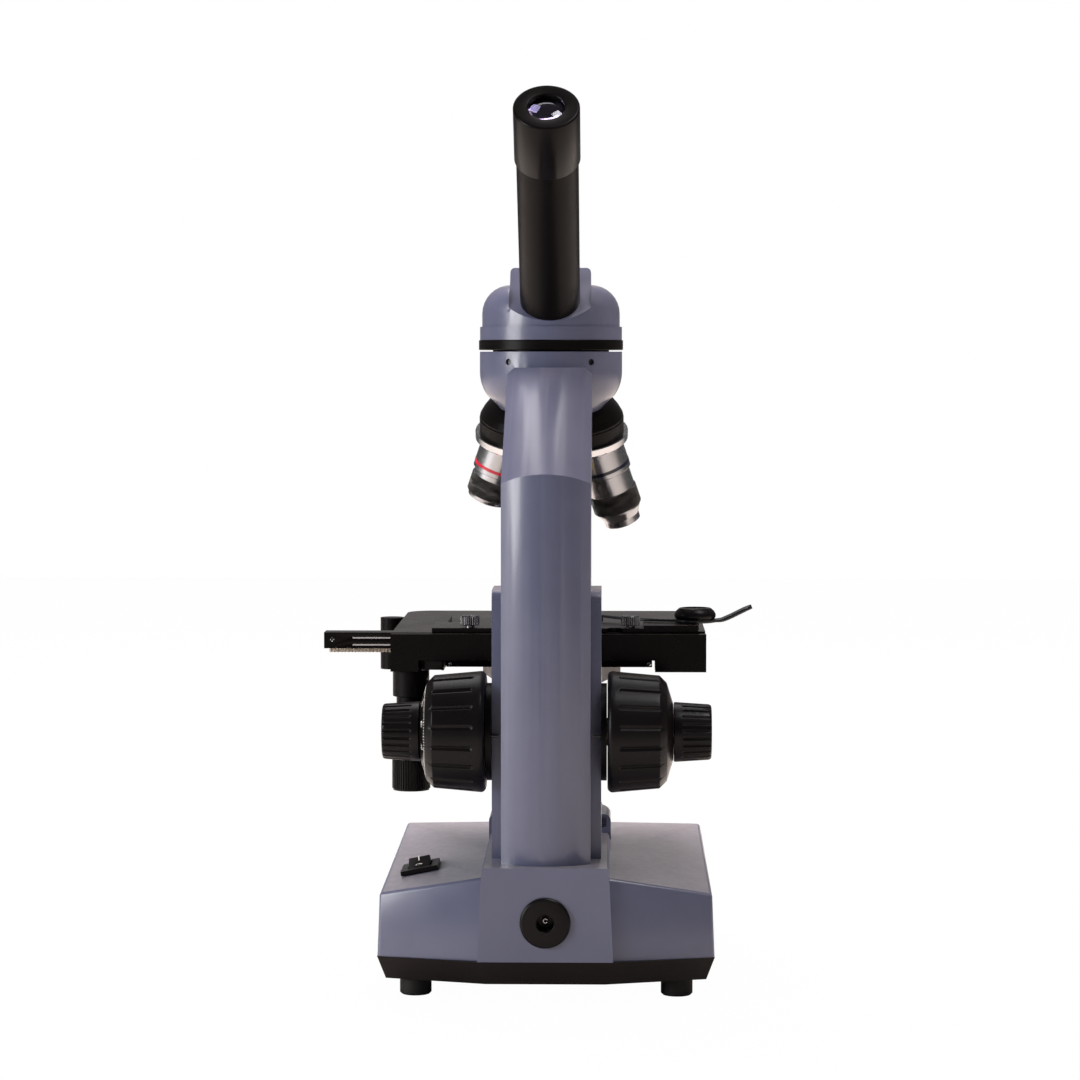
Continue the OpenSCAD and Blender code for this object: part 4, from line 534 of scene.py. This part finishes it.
# %% [markdown]
# ## Small screws
# A cross-head screw is a low dome with two crossed slots. One height map on a polar grid gives dome and slots
# together: the slots' floor is where a point lies close to either diagonal and near enough to the middle.

# %% screw heads
def screw_points(r, rise, slot_half, slot_depth, rings=16, steps=64):
    """Height of a point of the head: a flat dome, less the slot depth in the recess; then a wall to the seat."""
    radius = r * np.linspace(0, 1, rings)
    angle = np.linspace(0, 2 * np.pi, steps, endpoint=False)
    rr, aa = np.meshgrid(radius, angle, indexing="ij")
    x, y = rr * np.cos(aa), rr * np.sin(aa)
    height = rise * (0.55 + 0.45 * np.cos(np.pi / 2 * rr / r) ** 0.8)
    recess = ((np.abs(x) < slot_half) | (np.abs(y) < slot_half)) & (rr < r * 0.68)
    height = np.where(recess, height - slot_depth, height)
    top = np.stack([x, y, height], -1)
    wall_ring = np.stack([x[-1], y[-1], 0 * x[-1] - 0.2], -1)[None]
    foot = np.stack([0 * x[-1], 0 * x[-1], 0 * x[-1] - 0.2], -1)[None]
    return np.concatenate([top, wall_ring, foot])


def screws(name, places, material, body):
    """One piece of several screw heads; each place is (centre mm, axis, radius, rise)."""
    made = []
    for centre, axis, r, rise in places:
        points = put(screw_points(r, rise, r * 0.16, rise * 0.7), centre, axes(axis, (0.6, 0.5, 0.62)))
        made.append(grid_mesh(name, points, wrap_v=True))
    return add_piece(name, joined(name, made), body, material, smooth=35)


screws("bar_end_screw", [((-95.6, -57.75, 148.2), (0, -1, 0), 1.5, 0.3)], bright, "slide")
screws("stage_rear_screw", [((x, -40.0, 135.9), (0, -1, 0), 1.0, 0.5) for x in (-44.6, 44.6)], bright, "carrier")
print("small screws placed")

# %% [markdown]
# ## Bright lines on the cross bar
# Two narrow grooves run along the bar's rear face, and their floors catch the light as two silver lines.

# %% the two bright strips
strips = [box_corners(-86.5, 40.6, -57.95, -57.3, low, high) for low, high in ((148.58, 149.22), (145.48, 146.12))]
add_piece("bar_bright_lines", blocks("bar bright lines", strips), "slide", bright)
print("bright lines:", len(strips))

# %% [markdown]
# ## Knurls
# A knurl is cut by two wheels whose teeth lean opposite ways, so what is left standing is a diamond. With
# u = n a / 2 pi + h / p and v = n a / 2 pi - h / p, the height at angle a and height h is the lower of the two
# triangle waves of u and v. With no lean the same formula gives plain upright teeth.

# %% a knurled ring
def knurled(core, r, depth, count, pitch, low, high, rows, fine=6, bevel=0.35):
    """A closed ring: radius r - depth (1 - min(tri u, tri v)), bevelled at both ends, hollow inside core."""
    height = np.linspace(low, high, rows)
    angle = np.linspace(0, 2 * np.pi, count * fine, endpoint=False)
    hh, aa = np.meshgrid(height, angle, indexing="ij")
    lean = (hh - low) / pitch if pitch else 0 * hh
    waves = [1 - np.abs(2 * np.mod(count * aa / (2 * np.pi) + s * lean, 1) - 1) for s in (1, -1)]
    standing = np.clip(1.5 * np.minimum(*waves), 0, 1)
    edge = np.clip(bevel - np.minimum(hh - low, high - hh), 0, bevel)
    radius = r - depth * (1 - standing) - edge
    outside = np.stack([radius * np.cos(aa), radius * np.sin(aa), hh], -1)
    inside = revolve([[core, high], [core, low]], count * fine)
    return np.concatenate([outside, inside])


# %% the grips of the four objectives
turret_lean, turret_root, grip_l = 18, (0, 0, 293.0), 9.3
grips = []
for turn_z, top in ((-90, -83.6), (0, -86.7), (90, -90.2), (180, -92.0)):
    ring = knurled(9.4, 11.4, 0.42, 60, 1.25, top - grip_l, top, 44)
    turret_rows = turned(-turret_lean) @ turned(0, 0, turn_z) @ turned(turret_lean)
    grips.append(grid_mesh("grip", put(ring, turret_root, turret_rows), wrap_u=True, wrap_v=True))
add_piece("objective_grips_knurled", joined("objective grips", grips), "turret", knurl_black,
          replaces=("objective_grips",), smooth=25)
print("grips:", len(grips))

# %% the two thumb screws
thumbs = []
for x in (-34.8, 36.1):
    head = knurled(1.0, 4.15, 0.5, 28, 0, 154.2, 158.5, 12, fine=8)
    neck = revolve([[0, 146.0], [2.0, 146.0], [2.0, 154.3], [0, 154.3]], 48)
    cap = revolve([[0, 158.1], [1.2, 158.1], [1.2, 158.35], [0, 158.4]], 48)
    thumbs += [grid_mesh("thumb", head + [x, -53, 0], wrap_u=True, wrap_v=True),
               grid_mesh("thumb neck", neck + [x, -53, 0], wrap_v=True),
               grid_mesh("thumb cap", cap + [x, -53, 0], wrap_v=True)]
add_piece("thumb_screws_knurled", joined("thumb screws", thumbs), "slide", thumb_steel,
          replaces=("thumb_screws",), smooth=25)
print("thumb screws:", len(thumbs) // 3)

# %% the small steel pin beside the drive housing
pin = revolve([[0, 0], [1.2, 0], [1.4, 0.2], [1.4, 4.3], [1.2, 4.5], [0, 4.5]], 40)
pin_points = put(pin, (-57.8, -55.0, 130.8), axes((1, 0, 0), (0, 1, 0)))
add_piece("drive_side_pin", joined("drive side pin", [grid_mesh("drive side pin", pin_points, wrap_v=True)]),
          "stage", satin_steel, smooth=30)
print("side pin placed")

# %% [markdown]
# ## The socket's contacts
# Inside the supply socket stands a hollow pin, rolled from sheet and so open along one side, and beside it the
# bent end of the outer contact. Both are pale metal and catch one small light each.

# %% the rolled pin and the bent contact
slit_angle = np.linspace(np.radians(25), np.radians(335), 60)
pin_profile = np.array([[1.05, -4.0], [1.05, 3.05], [0.97, 3.2], [0.75, 3.2], [0.66, 3.05], [0.66, -4.0]])
pin_r, pin_h = pin_profile[:, :1], pin_profile[:, 1:]
pin_grid = np.stack([pin_r * np.cos(slit_angle), pin_r * np.sin(slit_angle), pin_h + 0 * slit_angle], -1)
socket_frame = axes((0, -1, 0), (1, 0, 0))
socket_root = (0, -118.8, 34.3)
bend = np.linspace(0, 1, 24)
strip_mid = np.stack([0 * bend, 2.75 - 0.35 * np.sin(np.pi * bend) ** 2, -3.0 + 5.6 * bend], -1)
strip_across = np.array([[-0.9, -0.22, 0], [0.9, -0.22, 0], [0.9, 0.22, 0], [-0.9, 0.22, 0]])
strip_grid = strip_mid[:, None, :] + strip_across[None]


def closed_strip(name, rows):
    """A closed bar from rings of points: the ends are filled with one face each."""
    mesh = grid_mesh(name, rows, wrap_v=True)
    work = bmesh.new()
    work.from_mesh(mesh)
    bmesh.ops.holes_fill(work, edges=work.edges)
    bmesh.ops.recalc_face_normals(work, faces=work.faces)
    work.to_mesh(mesh)
    work.free()
    return mesh


contact_meshes = [closed_strip("pin", put(pin_grid.transpose(1, 0, 2), socket_root, socket_frame)),
                  closed_strip("bent contact", put(strip_grid, socket_root, socket_frame))]
add_piece("socket_contacts", joined("socket contacts", contact_meshes), "frame", satin_steel,
          replaces=("dc_jack_contacts",), smooth=40)
print("contacts:", len(contact_meshes))

# %% [markdown]
# ## The slide clip's lever
# The clip's finger is one strip of spring steel. Past its knob it runs level, then sweeps up in a soft bend to
# a rounded tip. The middle line is a table of points smoothed by a moving mean; the width tapers at the tip, and
# the strip is a little thicker past the bend. The clip's other arm is a bow of a quarter turn.

# %% the finger, its foot and the lever in one piece
clip_x, clip_y = 65, -43
finger_low, finger_high = 154.9, 156.3
lever_path = np.array([[62.0, 0.7], [68.0, 0.7], [74.0, 0.75], [77.0, 1.05], [80.5, 2.5], [84.5, 4.5],
                       [88.0, 6.2], [90.2, 7.05]])
fine_step = np.linspace(0, len(lever_path) - 1, 57)
lever_mid = np.stack([np.interp(fine_step, np.arange(len(lever_path)), lever_path[:, k]) for k in (0, 1)], -1)
for _ in range(6):
    lever_mid[1:-1] = (lever_mid[:-2] + 2 * lever_mid[1:-1] + lever_mid[2:]) / 4
lever_run = np.gradient(lever_mid, axis=0)
lever_up = np.stack([-lever_run[:, 1], lever_run[:, 0]], -1) / np.linalg.norm(lever_run, axis=1, keepdims=True)
from_tip = np.linalg.norm(lever_mid - lever_mid[-1], axis=1)
tip_r = 4.5
half_width = tip_r * np.sqrt(np.clip(1 - np.clip(1 - from_tip / tip_r, 0, 1) ** 2, 0.02, 1))
corner = np.linspace(0, 2 * np.pi, 24, endpoint=False)
ring_y = np.sign(np.cos(corner)) * np.abs(np.cos(corner)) ** 0.35
ring_z = np.sign(np.sin(corner)) * np.abs(np.sin(corner)) ** 0.6
half_thick = np.interp(lever_mid[:, :1], [74.5, 79.0], [0.7, 0.95])
lever_grid = np.stack([lever_mid[:, :1] + lever_up[:, :1] * half_thick * ring_z,
                       clip_y + half_width[:, None] * ring_y,
                       finger_low + lever_mid[:, 1:] + lever_up[:, 1:] * half_thick * ring_z], -1)
bow_angle = np.linspace(np.radians(180), np.radians(270), 49)
bow_x, bow_r, bow_half = 62.5, 41, 2.5
ring_r, ring_h = bow_r + bow_half * ring_y, finger_low + 0.7 + 0.68 * ring_z
bow_grid = np.stack([bow_x + ring_r * np.cos(bow_angle)[:, None], ring_r * np.sin(bow_angle)[:, None],
                     ring_h + 0 * bow_angle[:, None]], -1)
eye_rows = [[4.2, finger_low + 0.02], [8.9, finger_low + 0.02], [9.0, finger_low + 0.2], [9.0, finger_high - 0.2],
            [8.9, finger_high - 0.03], [4.2, finger_high - 0.03]]
eye = revolve(eye_rows) + [clip_x, clip_y, 0]
foot = blocks("clip foot", [box_corners(19.1, 23.9, -2.9, -0.1, 151.7, 156.2)])
finger_meshes = [closed_strip("lever", lever_grid), closed_strip("bow", bow_grid),
                 grid_mesh("eye", eye, wrap_u=True, wrap_v=True), foot]
add_piece("clip_finger_strip", joined("clip finger strip", finger_meshes), "finger", dark_steel,
          replaces=("clip_finger",), smooth=40)
print("clip finger pieces:", len(finger_meshes))

# %% [markdown]
# ## Focus knobs
# The coarse knobs have eighteen soft grooves that start bluntly near the arm and run out over the outer edge. The
# fine knobs taper outwards a little and have two dozen of them. Both keep the frame's bores and lengths.

# %% the four focus knobs
def grooved(path, bore, count, half, depth, low, high, fade):
    """A closed turned body along +X. Its radius is r(h) - depth / 2 (1 + cos(pi min(d / half, 1))), with d the
    distance to the nearest groove's line. The line starts at low; its depth fades over the last part to high."""
    path = np.array(path, float)
    rim = path[:, 0].max()
    across = np.concatenate([np.linspace(-1.1, 1.1, 17) * half, np.array([0.68, 0.84, 1.0]) * np.pi * rim / count])
    across = np.unique(np.concatenate([across, -across[-3:-1]])) / rim
    angle = (across[None, :] + (np.arange(count)[:, None] + 0.5) * 2 * np.pi / count).ravel()
    aside = np.tile(across, count) * rim
    beyond = np.clip(low - path[:, 1:2], 0, None)
    near = np.clip(np.hypot(aside[None, :], beyond) / half, 0, 1)
    share = np.clip((high - path[:, 1:2]) / fade, 0, 1)
    radius = path[:, :1] - share * depth / 2 * (1 + np.cos(np.pi * near))
    outer = np.stack([0 * radius + path[:, 1:2], radius * np.cos(angle), radius * np.sin(angle)], -1)
    inner = [[h + 0 * angle, r * np.cos(angle), r * np.sin(angle)] for r, h in bore]
    return np.concatenate([outer, np.array(inner).transpose(0, 2, 1)])


def both_sides(name, points):
    """The two knobs of a pair: one as made, along +X, and one turned by half a turn about the upright axis."""
    pair = [grid_mesh(name, points * np.array(side) + focus_axis, wrap_u=True, wrap_v=True)
            for side in ((1, 1, 1), (-1, -1, 1))]
    return joined(name, pair)


coarse_r, coarse_in, shaft_r, inner_round = 26.15, 26.2, 6, 2.2
round_low = coarse_in + inner_round
round_in = [[coarse_r - inner_round * (1 - math.sin(t)), round_low - inner_round * math.cos(t)]
            for t in np.linspace(0, math.pi / 2, 8)]
side_rows = [[coarse_r - 1.8 * (h - round_low) / 20.2, h] for h in
             np.concatenate([[30.0], np.linspace(30.7, 32.6, 12), np.linspace(34, 48.2, 6)])]
edge_rows = [[24.35, 48.5], [24.25, 48.7], [24.0, 48.95], [23.7, 49.25], [23.4, 49.55], [21.35, 51.6],
             [21.1, 51.75], list(cone_stop)]
coarse_path = [[shaft_r, coarse_in], [15, coarse_in]] + round_in + side_rows + edge_rows
coarse_bore = [[3.06, cone_stop[1]], [3.06, 48.6], [shaft_r, 48.6]]
coarse = grooved(coarse_path, coarse_bore, count=18, half=1.35, depth=0.75, low=32.3, high=49.6, fade=1.1)
add_piece("coarse_knobs_grooved", both_sides("coarse knobs", coarse), "coarse", moulded,
          replaces=("coarse_knobs",), smooth=40)

fine_in, fine_end, fine_bore_r, closing = 54.8, 71.0, 3, 0.01
fine_side = [[12.9 - 0.9 * (h - 55.5) / 14.5, h] for h in
             np.concatenate([[55.5], np.linspace(57.3, 59.2, 9), np.linspace(61, 69.6, 4)])]
fine_end_rows = [[11.85, 70.2], [11.5, 70.7], [10.9, 70.95], [6, fine_end], [closing, fine_end]]
fine_path = [[fine_bore_r, fine_in], [12.6, fine_in], [12.85, 55.0]] + fine_side + fine_end_rows
fine_bore = [[closing, 69.5], [fine_bore_r, 69.5]]
fine = grooved(fine_path, fine_bore, count=24, half=0.85, depth=0.6, low=58.9, high=fine_end, fade=1.0)
add_piece("fine_knobs_grooved", both_sides("fine knobs", fine), "fine", moulded,
          replaces=("fine_knobs",), smooth=40)
print("focus knob pairs:", 2)

# %% the clip's knob: a turned button with a shallow recess in its top
pin_r, pin_low, button_low = 1.94, 151.4, 156.35
button_rows = [[8.3, 0], [8.8, 0.35], [9.2, 1.2], [9.25, 1.8], [9.1, 2.5], [8.5, 3.6], [7.3, 4.7], [6.9, 4.93],
               [6.6, 5.0], [5.7, 5.0], [5.5, 4.9], [5.3, 4.5], [5.0, 4.4], [0, 4.4]]
button = revolve([[0, pin_low], [pin_r, pin_low], [pin_r, button_low]]
                 + [[r, button_low + rise] for r, rise in button_rows], 96) + [clip_x, clip_y, 0]
add_piece("clip_knob_turned", joined("clip knob", [grid_mesh("clip knob", button, wrap_v=True)]),
          "finger", moulded, replaces=("clip_knob",), smooth=32)
print("clip knob turned")

# %% [markdown]
# ## Camera, floor and light
# The photograph is taken from about a metre and a half away with a long lens, level with the nosepiece, from a
# little to the right. A white floor keeps the soft shadow, and a white world fills the background. The lamps that
# light the object are hidden from reflections where they would draw streaks on the paint. Three more lamps show
# only in reflections.

# %% the camera
camera_data = bpy.data.cameras.new("camera")
camera = bpy.data.objects.new("camera", camera_data)
bpy.context.scene.collection.objects.link(camera)
picture, focal_px = 1080, 3230.7
camera_data.sensor_width = 36
camera_data.lens = focal_px / picture * camera_data.sensor_width
camera_data.clip_start, camera_data.clip_end = 0.05, 20
camera.location = (28.63 * MM, -1478.5 * MM, 272.8 * MM)
turn, pitch = math.radians(1.304), math.radians(3.243)
camera.rotation_euler = (Matrix.Rotation(turn, 3, "Z") @ Matrix.Rotation(math.pi / 2 - pitch, 3, "X")).to_euler()
bpy.context.scene.camera = camera
bpy.context.scene.view_settings.view_transform = "Standard"
print("lens in mm:", round(camera_data.lens, 2))

# %% the floor
floor_line = np.linspace(-2500, 2500, 41)
span, depth = np.meshgrid(floor_line, floor_line, indexing="ij")
floor = bpy.data.objects.new("floor", grid_mesh("floor", np.stack([span, depth, -0.05 + 0 * span], -1)))
bpy.context.scene.collection.objects.link(floor)
floor_look = bpy.data.materials.new("pale floor")
floor_look.use_nodes = True
tree = floor_look.node_tree
shader = tree.nodes["Principled BSDF"]
shader.inputs["Base Color"].default_value = (0.5, 0.5, 0.5, 1)
shader.inputs["Roughness"].default_value = 0.6
white = node(tree, "Emission", Color=(1, 1, 1, 1), Strength=1.0)
path = node(tree, "LightPath")
choose = node(tree, "MixShader")
floor_share = node(tree, "Math", operation="MULTIPLY")
floor_share.inputs[1].default_value = 0.985
tree.links.new(path.outputs["Is Camera Ray"], floor_share.inputs[0])
tree.links.new(floor_share.outputs[0], choose.inputs[0])
tree.links.new(shader.outputs[0], choose.inputs[1])
tree.links.new(white.outputs[0], choose.inputs[2])
tree.links.new(choose.outputs[0], tree.nodes["Material Output"].inputs["Surface"])
floor.data.materials.append(floor_look)

# %% the world: white to the camera, dim in reflections, a plain grey light otherwise
world = bpy.data.worlds.new("studio")
bpy.context.scene.world = world
world.use_nodes = True
tree = world.node_tree
ambient = tree.nodes["Background"]
ambient.inputs["Color"].default_value = (0.97, 0.96, 1.0, 1)
ambient.inputs["Strength"].default_value = 0.22
plain = node(tree, "Background", Color=(1, 1, 1, 1), Strength=1.0)
path = node(tree, "LightPath")
choose = node(tree, "MixShader")
mirrored = node(tree, "Background", Color=(1, 0.98, 0.97, 1), Strength=0.11)
dim = node(tree, "MixShader")
tree.links.new(path.outputs["Is Glossy Ray"], dim.inputs[0])
tree.links.new(ambient.outputs[0], dim.inputs[1])
tree.links.new(mirrored.outputs[0], dim.inputs[2])
tree.links.new(path.outputs["Is Camera Ray"], choose.inputs[0])
tree.links.new(dim.outputs[0], choose.inputs[1])
tree.links.new(plain.outputs[0], choose.inputs[2])
tree.links.new(choose.outputs[0], tree.nodes["World Output"].inputs["Surface"])

# %% soft lamps
def soft_lamp(name, where, aim, size, power, colour=(1, 1, 1)):
    """A square area lamp of size m at where, turned to aim."""
    data = bpy.data.lights.new(name, "AREA")
    data.size, data.energy, data.color = size, power, colour
    lamp = bpy.data.objects.new(name, data)
    bpy.context.scene.collection.objects.link(lamp)
    lamp.location = where
    lamp.rotation_euler = (Vector(aim) - Vector(where)).to_track_quat("-Z", "Y").to_euler()
    return lamp


soft_lamp("key", (-2.0, -1.05, 0.8), (0, -0.05, 0.18), 1.1, 41, (1.0, 0.99, 0.99))
soft_lamp("fill", (1.3, 0.25, 1.6), (0, -0.05, 0.1), 1.2, 34, (1.0, 0.84, 0.72))
soft_lamp("top", (-0.3, 0.85, 1.65), (0, -0.05, 0.1), 1.2, 84, (1.0, 0.84, 0.74))
for name in ("top", "fill"):
    bpy.data.objects[name].visible_glossy = False
# the window shows in the eye lens, on the arm's upper facet and along the rounded upper edges
window = soft_lamp("window", (-0.12, 0.75, 1.45), (0, -0.1, 0.3), 0.8, 4.5)
# the level faces mirror the backdrop at a low angle: the stage's top, the base's top and the knobs' edges
backdrop = soft_lamp("backdrop", (0, 2.4, 0.75), (0, 0, 0.2), 1.6, 1.2)
# the ceiling shows as the bright crescent in the right of the eye lens
ceiling = soft_lamp("ceiling", (0.5, -0.35, 1.5), (0, -0.1, 0.35), 0.5, 7)
for lamp in (window, backdrop, ceiling):
    lamp.visible_diffuse = False
